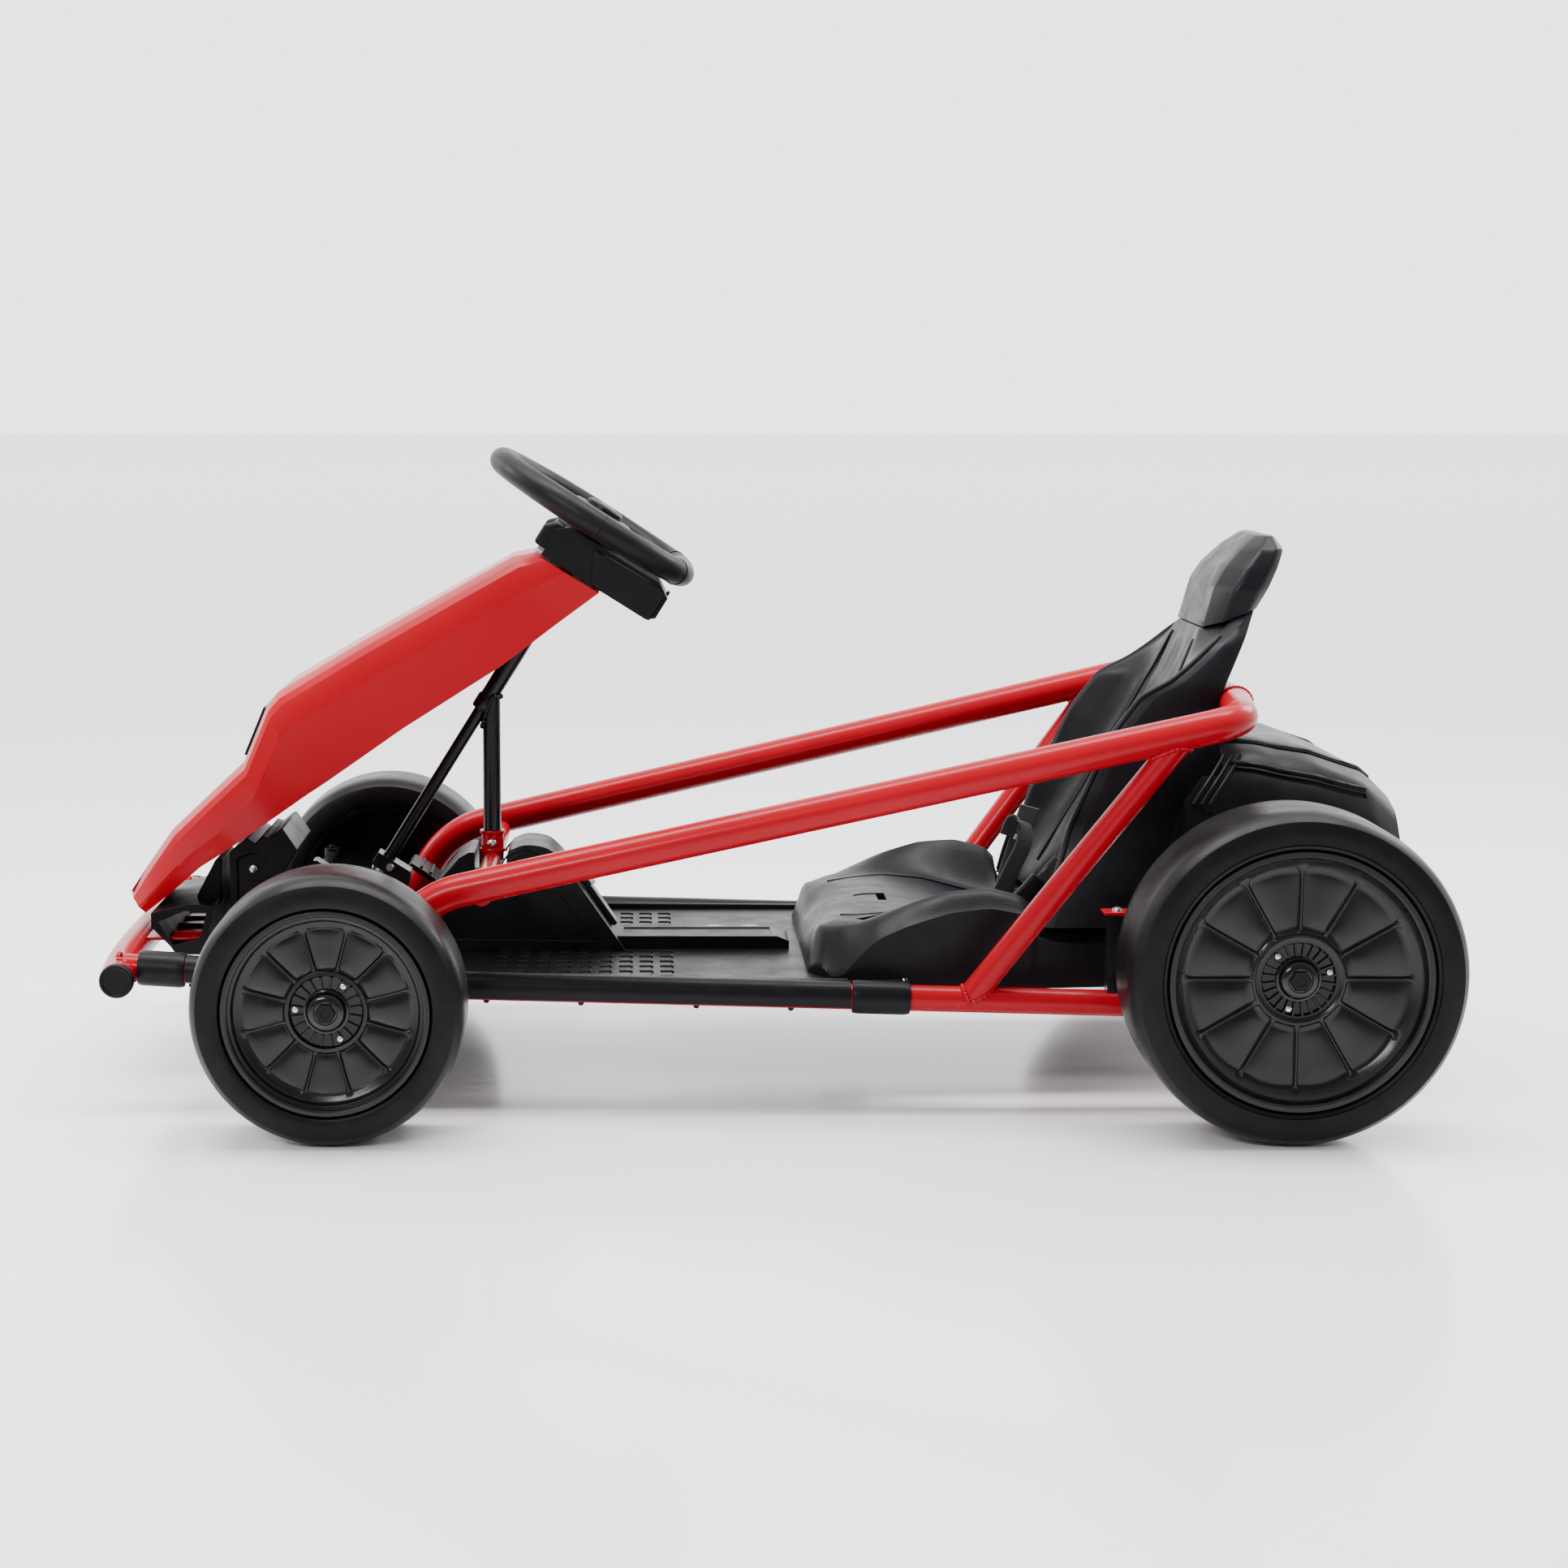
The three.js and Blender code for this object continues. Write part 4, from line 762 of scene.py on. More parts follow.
def add_front_axle():
    for node in ("column_cross_tube", "rear_cross_tube"):
        dress(node, RED, 0.9)
    for node in ("front_axle_beam", "axle_bracket_left", "axle_bracket_right",
                 "knuckle_left", "knuckle_right", "tie_rod",
                 "steering_shaft"):
        dress(node, BLACK_PAINT, 0.6)
    dress("rear_axle", STEEL, 0.5)
    tabs, bolts = [], []
    for _, sign in SIDES:
        tabs.append(block(325, 352, *sorted((sign * 195, sign * 217)), 188.2, 191.2))
        bolts.append(lathe_z([(r, z + 191) for r, z in bolt_profile(5)], (339, sign * 206, 0)))
    add_piece("axle_bracket_tabs", join(*tabs), *ON_FRAME_RED, (), 1, 3)
    add_piece("axle_bracket_bolts", join(*bolts), *ON_FRAME_STEEL)
    foot = column(lathe([(0.01, 13), (4.4, 13), (4.4, 15.6), (3.4, 16.8), (0.01, 17)], (6, 0, -411), 32, -1))
    add_piece("shaft_foot_screw", foot, *ON_FRAME_STEEL)
    for node in ("gearbox_left", "gearbox_right", "battery"):
        dress(node, CHARCOAL, 2.0)
    dress("motor_controller", CAST, 0.8)
    socket = joint_at("steering_turn")[0] - 109
    rings = [lathe_z([(9.4, z), (12.6, z), (13.0, z + 1), (13.0, z + 2.4), (12.6, z + 3.4), (9.4, z + 3.4)],
                     (socket, 0, 0)) for z in (214, 232.6)]
    add_piece("socket_rings", join(*rings), *ON_FRAME_RED)
    bolt = lathe(bolt_profile(4.6), (socket, -11.5, 224), 40, -1)
    add_piece("socket_bolt", bolt, *ON_FRAME_STEEL)
    pinch = column(lathe_z([(7.4, -423), (9.5, -423), (10.2, -421), (10.2, -419), (7.4, -419)], (0, 0, 0)))
    add_piece("lower_bearing", pinch, *ON_FRAME_STEEL)


def add_column():
    sleeve = tube(np.array([(0, 0, z) for z in np.linspace(-222, -58, 12)]), 9, 40)
    add_piece("column_sleeve_tube", column(sleeve), "frame", "black_metal",
              BLACK_PAINT, ("column_sleeve",), 0.6)
    low, high = box_mm("column_post")
    x = (low[0] + high[0]) / 2
    post = tube(np.array([(x, 0, z) for z in np.linspace(low[2], 376, 12)]), 9, 40)
    add_piece("column_post_tube", post, "frame", "black_metal", BLACK_PAINT, ("column_post",), 0.6)
    top = np.array((x, 0, 376.0))
    direction = (math.sin(COLUMN_TILT), 0, math.cos(COLUMN_TILT))
    black_weld_bead("post_weld", top, (x, 0, 200), 9.6, top, direction, 9.9)
    collar = column(lathe_z([(6.8, -226), (9.8, -226), (10.6, -224), (10.6, -212),
                             (9.8, -210), (6.8, -210)], (0, 0, 0)))
    add_piece("sleeve_collar", collar, "frame", "black_metal", BLACK_PAINT)
    tab = column(block(-20, -6, -14, 14, -90, -66))
    add_piece("fairing_tab", tab, *ON_FRAME_BLACK, (), 2)


def black_weld_bead(name, start, toward, radius, rail_point, rail_direction, rail_radius):
    """The same bead in the black paint of the column."""
    weld_bead(name, start, toward, radius, rail_point, rail_direction, rail_radius)
    obj = bpy.data.objects[name]
    obj.data.materials.clear()
    obj.data.materials.append(BLACK_PAINT)


def wheel_radius(angle, radius, flat):
    """Steering wheel outline in polar form: a circle blended into a flat on the driver's side."""
    if math.cos(angle) <= 0.05:
        return radius
    straight = flat / math.cos(angle)
    return (radius**-22 + straight**-22) ** (-1 / 22)


def add_steering_wheel():
    angles = full_turn(180)
    path, sizes = [], []
    for angle in angles:
        r = wheel_radius(angle, 112.2, 97.2)
        path.append((r * math.cos(angle), r * math.sin(angle), 0))
        side_grip = math.exp(-((abs(math.degrees(math.atan2(math.sin(angle), -math.cos(angle))))
                                - 72) / 26) ** 2)
        sizes.append(0.96 + 0.05 * side_grip)
    oval = [(14.1 * math.cos(a), 13.4 * math.sin(a))
            for a in full_turn(36)]
    section = np.array([(b, a) for a, b in oval])
    add_piece("steering_wheel_rim", column(sweep(path, section, True, sizes)), "steering", "wheel_grip", GRIP,
              ("steering_wheel",))
    seams = []
    for angle in (36, 88, 272, 324):
        a = math.radians(angle)
        r = wheel_radius(a, 112.2, 97.2)
        centre = np.array((r * math.cos(a), r * math.sin(a), 0))
        outward = np.array((math.cos(a), math.sin(a), 0))
        ring = [centre + 13.75 * math.cos(t) * outward + (0, 0, 13.05 * math.sin(t))
                for t in full_turn(48)]
        seams.append(tube(ring, 0.5, 8, True))
    add_piece("steering_wheel_seams", column(join(*seams)), "steering", "wheel_grip", SEAM_DOT_AND_SHADE_BLACK)
    spoke = [(-19, 26), (-22, 60), (-30, 99), (30, 99), (24, 60), (20, 26)]
    side_spokes = [[(s, sign * y, z) for z in (-7, 6) for s, y in spoke] for sign in (-1, 1)]
    plates = [skin(np.array(p).reshape(2, 6, 3)) for p in side_spokes]
    lower = skin([[(s, y, z) for s, y in ((24, -22), (88, -30), (88, 30), (24, 22))] for z in (-7, 5)])
    add_piece("steering_wheel_spokes", column(join(*plates, lower)), "steering",
              "wheel_grip", BLACK, (), 3.0, 4)
    pods = [skin([[(s, sign * y, z) for s, y in ((-10, 44), (-14, 78), (14, 80), (12, 44))]
                  for z in (5, 8.5)])
            for sign in (-1, 1)]
    add_piece("steering_wheel_pods", column(join(*pods)), "steering", "wheel_grip", CHARCOAL, (), 1.6, 3)
    hub = [(0.01, -10), (30, -10), (36, -6), (38, 0), (36, 6.5), (30, 9.6),
           (22.5, 10.2), (21.4, 9.4), (20.8, 6), (0.01, 6)]
    add_piece("steering_wheel_hub", column(lathe_z(hub, (0, 0, 0), (1, 1.08), 1, 72)),
              "steering", "wheel_grip", BLACK)
    button = [(0.01, 16.4), (8, 16.6), (12, 16.2), (13, 15.4), (14, 16.1),
              (17, 15.7), (19.4, 14), (19.9, 11), (19.9, 8.6),
              (0.01, 8.6)]
    add_piece("horn_cap", column(lathe_z(button, (0, 0, 0), (1, 1), 1, 72)),
              "horn", "charcoal_plastic", CHARCOAL,
              ("horn_button",))


def console_side(sign):
    """Raised panel on one side of the dash console."""
    y0, y1 = sorted((sign * 60, sign * 64.5))
    panel = [(27, -55.5), (94, -55.5), (94.5, -25), (86, -21), (11, -23), (13, -32)]
    return skin([[(s, y, n) for s, n in panel] for y in (y0, y1)])


def add_console():
    outline = [(-31, -56), (90, -56), (98, -50), (98, -27), (82, -18), (-20, -18), (-31, -26)]
    body = skin([[(s, y, n) for s, n in outline] for y in (-62, 62)])
    pocket = block_s(89, 100, -10.4, 10.4, -47, -26.6)
    dome = lathe_z([(0.01, -14), (22, -13.5), (31, -15.5), (35.5, -20), (38, -30), (38, -56), (0.01, -56)],
                   (0, 0, 0))
    add_piece("console_body", column(body), *ON_FRAME_BLACK, ("dash_console",), 4.5, 5,
              cut=(column(pocket),))
    add_piece("console_dome", column(dome), *ON_FRAME_CHARCOAL)
    sides = [console_side(sign) for _, sign in SIDES]
    add_piece("console_panels", column(join(*sides)), *ON_FRAME_CHARCOAL, (), 2.4, 4)
    pods = []
    for _, sign in SIDES:
        y0, y1 = sorted((sign * 36, sign * 58))
        pods.append(skin([[(s, y, n) for s, n in ((-44, -50), (-44, -30), (-34, -20), (-24, -20), (-24, -50))]
                          for y in (y0, y1)]))
    add_piece("console_pods", column(join(*pods)), *ON_FRAME_BLACK, (), 4, 5)
    rocker = [(92.5, -45.5), (98.4, -45.5), (97.4, -41), (96.8, -37), (97.4, -33),
              (98.4, -28.5), (92.5, -28.5)]
    shape = skin([[(s, y, n) for s, n in rocker] for y in (-8.8, 8.8)])
    add_piece("power_rocker", column(shape), "switch", "charcoal_plastic",
              GLOSS_BLACK, ("power_switch",), 0.8, 3)
    frame_lip = [(s, y, n) for s, y, n in ((98.2, -13, -50), (98.2, 13, -50),
                                           (98.2, 13, -24), (98.2, -13, -24))]
    add_piece("rocker_bezel", column(tube(rounded_path(close(frame_lip), 3, 6)[1:-1], 1.1, 10, True)),
              "frame",
              "charcoal_plastic", CHARCOAL)


def close(points):
    """A closed outline's points, starting and ending half way along its first side."""
    points = [np.asarray(p, float) for p in points]
    start = (points[0] + points[1]) / 2
    return [start, *points[1:], points[0], start]


def block_s(s0, s1, y0, y1, n0, n1):
    return skin([[(s, y, n) for s, n in ((s0, n0), (s1, n0), (s1, n1), (s0, n1))] for y in (y0, y1)])


def add_housing():
    outline = [(-320, PAN_TOP), (-320, 185), (-296, 213), (-286, 219),
               (-280, 219), (-280, 190), (-248, 190), (-248, 215),
               (-244, 221)]
    crown = spline([(-244, 221), (-232, 226), (-218, 226), (-205, 222), (-194, 212)], 16)[1:]
    outline += [tuple(p) for p in crown] + [(-178, 190), (-139, 134), (-128, PAN_TOP)]
    hollow = [(-316, 100), (-316, 184), (-284, 213), (-284, 186), (-244, 186),
              (-244, 214), (-232, 221), (-218, 221),
              (-198, 208), (-142, 132), (-134, 100)]
    panel = [(-308, 130), (-308, 178), (-292, 196), (-286, 184), (-244, 184), (-196, 178), (-156, 128)]
    recesses = [prism(panel, *sides) for sides in ((-60, -38.2), (38.2, 60))]
    add_piece("housing_shell", prism(outline, -40, 40), *ON_FRAME_BLACK, ("steering_housing",), 2.6, 4,
              cut=(prism(hollow, -36, 36), *recesses))
    ribs = []
    for radius in (8, 13, 18, 23):
        arc = [(-231 + radius * math.cos(a), 0, 199 + radius * math.sin(a))
               for a in np.radians(np.linspace(20, 160, 24))]
        for y in (-40.2, 40.2):
            ribs.append(tube([(x, y, z) for x, _, z in arc], 1.0, 8))
    add_piece("housing_arcs", join(*ribs), *ON_FRAME_CHARCOAL)
    strip = prism([(-186, 203), (-181, 206), (-136, 141), (-141, 138)], -12, 12)
    add_piece("housing_strip", strip, "frame", "charcoal_plastic", CHARCOAL, (), 1.5, 3)
    latch = prism([(-170, 190), (-165, 193), (-158, 183), (-163, 180)], -9, 9)
    add_piece("housing_latch", latch, *ON_FRAME_STEEL, (), 1.2, 3)


def add_pedal():
    low, high = box_mm("accelerator_pedal")
    pivot = joint_at("accelerator_press")
    x, z = pivot[0], pivot[2]
    y0, y1 = low[1] + 7, high[1] - 7
    top = spline([(x - 8, z + 3), (x - 22, z + 24), (x - 42, z + 46), (x - 66, z + 62)], 24)
    bottom = top[::-1] + (4.5, 4.0)
    outline = [tuple(p) for p in top] + [tuple(p) for p in bottom]
    add_piece("pedal_plate", prism(outline, y0, y1), "pedal", "black_plastic",
              BLACK, ("accelerator_pedal",), 1.4, 3)
    treads = []
    for k in range(3, 21, 3):
        px, pz = bottom[k]
        treads.append(tube([(px + 0.6, y, pz + 0.6) for y in np.linspace(y0 + 5, y1 - 5, 6)], 1.5, 10))
    add_piece("pedal_treads", join(*treads), "pedal", "black_plastic", GRIP)
    barrel = lathe([(0.01, y0 - 1.5), (6, y0 - 1.5), (6, y1 + 1.5), (0.01, y1 + 1.5)], (x, 0, z), 32)
    pin = lathe([(0.01, y0 - 7), (3, y0 - 7), (3, y1 + 7), (0.01, y1 + 7)], (x, 0, z), 24)
    add_piece("pedal_pivot", join(barrel, pin), "pedal", "steel", STEEL)
    ears = []
    for y in (y0 - 6, y1 + 2):
        ear = [(x - 7, FLOOR_Z - 1), (x + 7, FLOOR_Z - 1)] + [(x + 7.2 * math.cos(a), z + 7.2 * math.sin(a))
                                                              for a in np.linspace(0, math.pi, 14)]
        ears.append(prism(ear, y, y + 4))
    add_piece("pedal_ears", join(*ears), *ON_FRAME_BLACK, (), 0.6, 2)


# ------------------------------------------------------------ nose

FAIRING = [
    # top edge, lower edge, half width
    ((-218, 521), (-154, 482), 68), ((-240, 517), (-195, 452), 70), ((-300, 484), (-250, 411), 80),
    ((-391, 433), (-346, 351), 94), ((-470, 386), (-420, 300), 106), ((-480, 374), (-440, 287), 108),
    ((-504, 317), (-480, 259), 108), ((-545, 279), (-520, 231), 98), ((-580, 246), (-550, 211), 86),
    ((-610, 205), (-585, 180), 66), ((-629, 177), (-612, 158), 48),
]


def fairing_ring(top, low, half, inset, extension):
    """One section of the fairing: flat crown, chamfered band along its edge, side and lower rim."""
    top, low = np.array(top, float), np.array(low, float)
    depth = np.linalg.norm(low - top)
    down = (low - top) / depth
    edge = half - inset
    shoulder = min(33, 0.6 * depth)
    outline = [(0, inset), (0.3 * edge, inset), (0.62 * edge, inset), (edge - 26, inset),
               (edge - 22, inset + 0.8),
               (edge - 9, inset + 6), (edge - 4, inset + 12), (edge, shoulder), (edge - 0.6, shoulder + 4),
               (edge - 3, 0.86 * depth + extension), (edge - 4, depth + extension)]

    def place(across, q):
        x, z = top + q * down
        return (x, across, z)

    return mirrored_ring(outline, place)


def fairing_sections(rows):
    tops, lows = [np.array([row[k] for row in rows], float) for k in (0, 1)]
    halves = np.array([row[2] for row in rows], float)
    return tops, lows, halves


def fairing_shape(rows, inset, extension, fill=3):
    """Loft through the sections, with a few more between them so that the long faces shade evenly."""
    tops, lows, halves = fairing_sections(rows)
    stations = []
    for i in range(len(rows) - 1):
        stations += [i + k / fill for k in range(fill)]
    stations.append(len(rows) - 1)
    rings = []
    for t in stations:
        i = min(int(t), len(rows) - 2)
        f = t - i
        rings.append(fairing_ring(tops[i] * (1 - f) + tops[i + 1] * f, lows[i] * (1 - f) + lows[i + 1] * f,
                                  halves[i] * (1 - f) + halves[i + 1] * f, inset, extension))
    return skin(rings)


def mix_rows(a, b, f):
    return tuple(tuple(np.array(a[k]) * (1 - f) + np.array(b[k]) * f)
                 for k in (0, 1)) + (a[2] * (1 - f) + b[2] * f,)


def along_step(along, out):
    """A point on the fairing's black step: distance down it, and out of it."""
    start, end = np.array(FAIRING[5][0], float), np.array(FAIRING[6][0], float)
    step = unit(end - start)
    return start + step * along + np.array((step[1], -step[0])) * out


def add_nose():
    hollow = [mix_rows(FAIRING[0], FAIRING[1], 0.14), *FAIRING[1:-1], mix_rows(FAIRING[-2], FAIRING[-1], 0.6)]
    inner = fairing_shape(hollow, 3, 6, 1)
    sleeve = column(skin([[(x, y, n) for x, y in circle(9.3, 32)] for n in (-80, -50)]))
    add_piece("nose_fairing_shell", fairing_shape(FAIRING, 0, 0), "frame", "fairing_red", FAIRING_RED,
              ("nose_fairing",), 1.8, 3, 24, cut=(inner, sleeve))
    outline = [along_step(5, 0.4), along_step(5, 3.4), along_step(57, 3.4), along_step(57, 0.4)]
    panel = prism([tuple(p) for p in outline], -75, 75)
    add_piece("fairing_step_panel", panel, *ON_FRAME_BLACK, ("fairing_panel",), 1.4, 3)
    slots = [prism([tuple(along_step(a, o)) for a, o in ((k, 2.2), (k, 4.2), (k + 3, 4.2), (k + 3, 2.2))],
                   -58, 58)
             for k in (16, 26, 36, 46)]
    add_piece("fairing_step_ribs", join(*slots), *ON_FRAME_CHARCOAL, (), 0.5, 2)
    add_nose_bracket()


def add_nose_bracket():
    lower = [(-599, 166), (-599, 152), (-580, 132), (-575, 124), (-549, 124),
             (-545.5, 128), (-537, 173), (-560, 175)]
    web = [(-590, 166), (-562, 172), (-541, 212), (-534, 212), (-537, 166)]
    window = [(-592, 157), (-577, 134), (-551, 140), (-544, 166), (-566, 168)]
    seat = block(-612, -546, -80.4, 80.4, 136.6, 140.4)
    add_piece("bracket_hex", prism(lower, -88, 88), *ON_FRAME_BLACK, ("nose_bracket",), 1.6, 3,
              cut=(prism(window, -100, 100), seat))
    add_piece("bracket_web", prism(web, -41, 41), *ON_FRAME_BLACK, (), 1.4, 3)
    support = [(-524, PAN_TOP), (-524, 222), (-506, 237), (-497, 231),
               (-490, 239), (-484, 237), (-473, 246), (-470, 246),
               (-456, 225), (-468, 205), (-477, 190), (-477, PAN_TOP)]
    recess = [(-516, 130), (-516, 216), (-500, 222), (-485, 214), (-485, 130)]
    add_piece("support_leg", prism(support, -60, 60), *ON_FRAME_BLACK, ("fairing_support",), 2.2, 4,
              cut=(prism(recess, -70, -57.5), prism(recess, 57.5, 70)))
    ribs = [prism([(-516, z), (-516, z + 3), (-485, z + 3), (-485, z)], sign * 58 - 1.2, sign * 58 + 1.2)
            for sign in (-1, 1) for z in (150, 172, 194)]
    add_piece("support_ribs", join(*ribs), *ON_FRAME_BLACK, (), 0.5, 2)
    screws = [lathe(bolt_profile(4.5), (x, sign * 60, z), 32, sign) for sign in (-1, 1)
              for x, z in ((-500, 206), (-500, 136))]
    add_piece("support_screws", join(*screws), *ON_FRAME_STEEL)


# ------------------------------------------------------------ seat

SEAT_BASE = [
    # x, crown height, then inner edge, ridge and outer wall as (across, height), and lower edge
    (50, 121, (78, 122), (112, 127), (140, 122), PAN_TOP),
    (60, 140, (80, 152), (118, 158), (156, 128), PAN_TOP),
    (72, 156, (90, 162), (132, 160), (172, 119.5), PAN_TOP),
    (85, 163, (100, 166), (142, 163), (177, 126), PAN_TOP),
    (98, 167, (106, 167), (146, 166), (177, 141), PAN_TOP),
    (116, 170, (110, 169), (149, 174), (176, 157), PAN_TOP),
    (143.4, 170, (112, 171), (151, 186), (174, 169), PAN_TOP),
    (146, 169.5, (112, 171), (151, 187), (174, 170), 106),
    (185, 163, (112, 168), (150, 199), (169, 181), 106), (224, 152, (112, 158), (148, 202), (166, 185), 106),
    (256, 147, (112, 150), (146, 194), (164, 179), 106), (266, 149, (111, 151), (145, 184), (163, 172), 106),
    (271, 150.5, (111, 152), (144, 164), (162, 155), 106),
    (300, 158, (110, 158), (140, 163), (160, 150), 106),
    (345, 164, (110, 164), (135, 164), (155, 150), 106),
]
SEAT_WALL = 4


def seat_base_rows(steps):
    """The base's sections as plain rows of numbers, run through with a smooth curve."""
    rows = np.array([(x, crown, *inner, *ridge, *wall, lower) for x, crown,
                     inner, ridge, wall, lower in SEAT_BASE], float)
    shaping = np.delete(rows, 7, 0)
    stations = np.unique(np.concatenate([np.linspace(50, 345, steps), [143.4, 146, 266, 271]]))
    smooth = spline(shaping, 400)
    made = []
    for x in stations:
        row = [np.interp(x, smooth[:, 0], smooth[:, k]) * 0.4 + np.interp(x, rows[:, 0], rows[:, k]) * 0.6
               for k in range(8)]
        made.append([x, *row[1:], np.interp(x, rows[:, 0], rows[:, 8])])
    return np.array(made)


def seat_base_ring(row, inset, drop):
    x, crown, inner_y, inner_z, ridge_y, ridge_z, wall_y, wall_z, lower = row
    bottom = lower - drop
    corners = np.array([(0, crown), (0.55 * inner_y, crown + 0.12 * (inner_z - crown)), (inner_y, inner_z),
                        (ridge_y, ridge_z), (wall_y, wall_z)], float)
    top = smooth_rows(corners, 33, 0.5)
    top[:, 1] -= inset
    top[:, 0] = np.minimum(top[:, 0], wall_y) - inset * (top[:, 0] / wall_y) ** 3
    edge = top[-1, 0]
    side = [(edge + 0.3, wall_z - inset - 0.3 * (wall_z - inset - bottom)), (edge, bottom)]
    half = [tuple(p) for p in top] + side
    return mirrored_ring(half, lambda across, z: (x, across, z))


def add_seat_base():
    outer = skin([seat_base_ring(row, 0, 0) for row in seat_base_rows(70)])
    rows = seat_base_rows(24)[1:-1]
    rows[:, 0] += 8 - 12 * (rows[:, 0] - 50) / 295
    inner = skin([seat_base_ring(row, SEAT_WALL, 10) for row in rows])
    arm = block(105, 136, -6, 1, 162, 200)
    leg = block(127, 136, -38, 1, 162, 200)
    wedge = skin([[(x, y, z) for x, y in ((97, -122), (116, -126), (122, -146), (104, -140))]
                  for z in (162.5, 200)])
    add_piece("seat_base_shell", outer, *ON_FRAME_SEAT, ("seat_base",), 2.2, 4, 38,
              cut=(inner, arm, leg, wedge))
    # Painted shade: a near-black plate inside the hollow seat base, below the belt slot, standing in for the
    # dark inside.
    add_piece("seat_base_slot_floor", block(94, 146, -148, 8, 155, 158), "frame", "black_plastic", SEAM_DOT_AND_SHADE_BLACK)
    welt = []
    for sign in (-1, 1):
        line = [(row[0], sign * (row[2] - 5), row[3] - 0.5) for row in seat_base_rows(60)
                if 84 < row[0] < 338]
        welt.append(tube(spline(line, 90), 1.5, 10))
    add_piece("seat_base_welts", join(*welt), *ON_FRAME_SEAT)


SEAT_BACK = [
    # height, centre front, wing front, half width, rear, and the section's rise towards the rear
    (165.3, 290, 272, 158, 375, 0), (200, 309, 284, 150, 388, 0), (230, 325, 295, 140, 400, 0),
    (260, 342, 304, 133, 412, 0), (300, 364, 322, 128, 425, 0), (345, 389, 342, 126, 440, 0),
    (384, 410, 371, 123, 452, 0), (400, 419, 400, 120, 459, 0), (431, 433, 440, 105, 478, 0.2),
    (447, 441, 466, 84, 490, 0.38),
]


def seat_back_ring(row):
    """Back section: fluted centre panel, smooth rise to the wing, rolled edge and rear face."""
    z, centre, wing, half, rear, rise = row
    control = np.array([(0, centre), (0.45 * half, centre), (0.66 * half, centre - 1),
                        (0.8 * half, centre + 0.38 * (wing - centre)),
                        (half - 8, wing + 1), (half - 3, wing - 1.2), (half + 1, wing + 3),
                        (half + 4, wing + 14)], float)
    front = smooth_rows(control, 56, 0.65)
    across = np.abs(front[:, 0])
    flute = np.where(across < 0.5 * half, 1.1 * (1 - np.cos(2 * math.pi * across / 22)), 0)
    fade = np.clip((row[0] - 185) / 25, 0, 1) * np.clip((436 - row[0]) / 20, 0, 1)
    front[:, 1] += flute * fade
    half_outline = [tuple(p) for p in front] + [(half + 2, rear - 12),
                                                (half - 3, rear - 3), (half - 14, rear)]
    return mirrored_ring(half_outline, lambda y, x: (x, y, z + rise * (x - centre)))


def add_seat_back():
    rows = smooth_rows(SEAT_BACK, 61, 0.4)
    hoop = tube(np.array([(HOOP_X, y, HOOP_Z) for y in np.linspace(-130, 130, 8)]), TUBE + 1, 40)
    rails = [tube(upper_path(sign), TUBE + 1, 40) for _, sign in SIDES]
    add_piece("seat_back_shell", skin([seat_back_ring(row) for row in rows]), *ON_FRAME_SEAT,
              ("seat_back",), 1.4, 3, 42, cut=(hoop, *rails))
    seams, rolls, guides = [], [], []
    for _, sign in SIDES:
        seams.append(tube(spline([(row[1] - 0.4, sign * 0.52 * row[3], row[0])
                                  for row in rows if 190 < row[0] < 436], 60),
                          1.4, 10))
        rolls.append(tube(spline([(row[2] + 1, sign * (row[3] - 1), row[0] + row[5] * (row[2] - row[1]))
                                  for row in rows if 176 < row[0] < 440], 80), 3.2, 14))
        for x, z in ((396.5, 345), (386, 327)):
            ring = [(x + b * 0.48, sign * 52 + a, z + b * 0.87)
                    for a, b in ((-11, -5), (11, -5), (11, 5), (-11, 5))]
            guides.append(tube(rounded_path(close(ring), 2.5, 5)[1:-1], 2.4, 10, True))
    add_piece("seat_back_welts", join(*seams), *ON_FRAME_SEAT)
    add_piece("seat_back_rolls", join(*rolls), *ON_FRAME_SEAT)
    add_piece("seat_back_guides", join(*guides), "frame", "seat_plastic", GLOSS_BLACK)


HEADREST = [
    # height, front, front half width, rear, half width, rise towards the rear
    (447.6, 441, 64, 492, 84, 0.38), (488, 452, 64, 503, 88, 0), (507, 463, 60, 512, 84, 0),
    (525, 480, 50, 519, 74, 0),
    (538, 497, 40, 512, 58, 0),
]


def add_headrest():
    rings = []
    for z, front, front_half, rear, half, rise in smooth_rows(HEADREST, 25, 0.35):
        depth = rear - front
        outline = [(0, front), (0.5 * front_half, front), (front_half - 1, front),
                   (front_half + 2, front + 1.5),
                   (half - 2, front + 0.32 * depth), (half, front + 0.4 * depth), (half, rear - 0.24 * depth),
                   (half - 2, rear - 0.17 * depth), (half - 12, rear)]
        rings.append(mirrored_ring(outline, lambda y, x: (x, y, z + rise * (x - front))))
    add_piece("headrest_body", skin(rings), *ON_FRAME_SEAT, ("headrest",), 3.4, 5, 24)


def ribbon(path, width_direction, width, thickness):
    """A strap: flat section carried along a path, its width held along one direction."""
    path = np.asarray(path, float)
    ahead = np.gradient(path, axis=0)
    corners = []
    for a in full_turn(24):
        u = math.copysign(abs(math.cos(a)) ** 0.3, math.cos(a)) * width / 2
        v = math.copysign(abs(math.sin(a)) ** 0.8, math.sin(a)) * thickness / 2
        corners.append((u, v))
    rings = []
    for i, (point, direction) in enumerate(zip(path, ahead)):
        direction = unit(direction)
        along = np.asarray(width_direction if np.ndim(width_direction) == 1 else width_direction[i], float)
        along = unit(along - direction * along.dot(direction))
        out = np.cross(direction, along)
        rings.append([point + u * along + v * out for u, v in corners])
    return skin(rings)


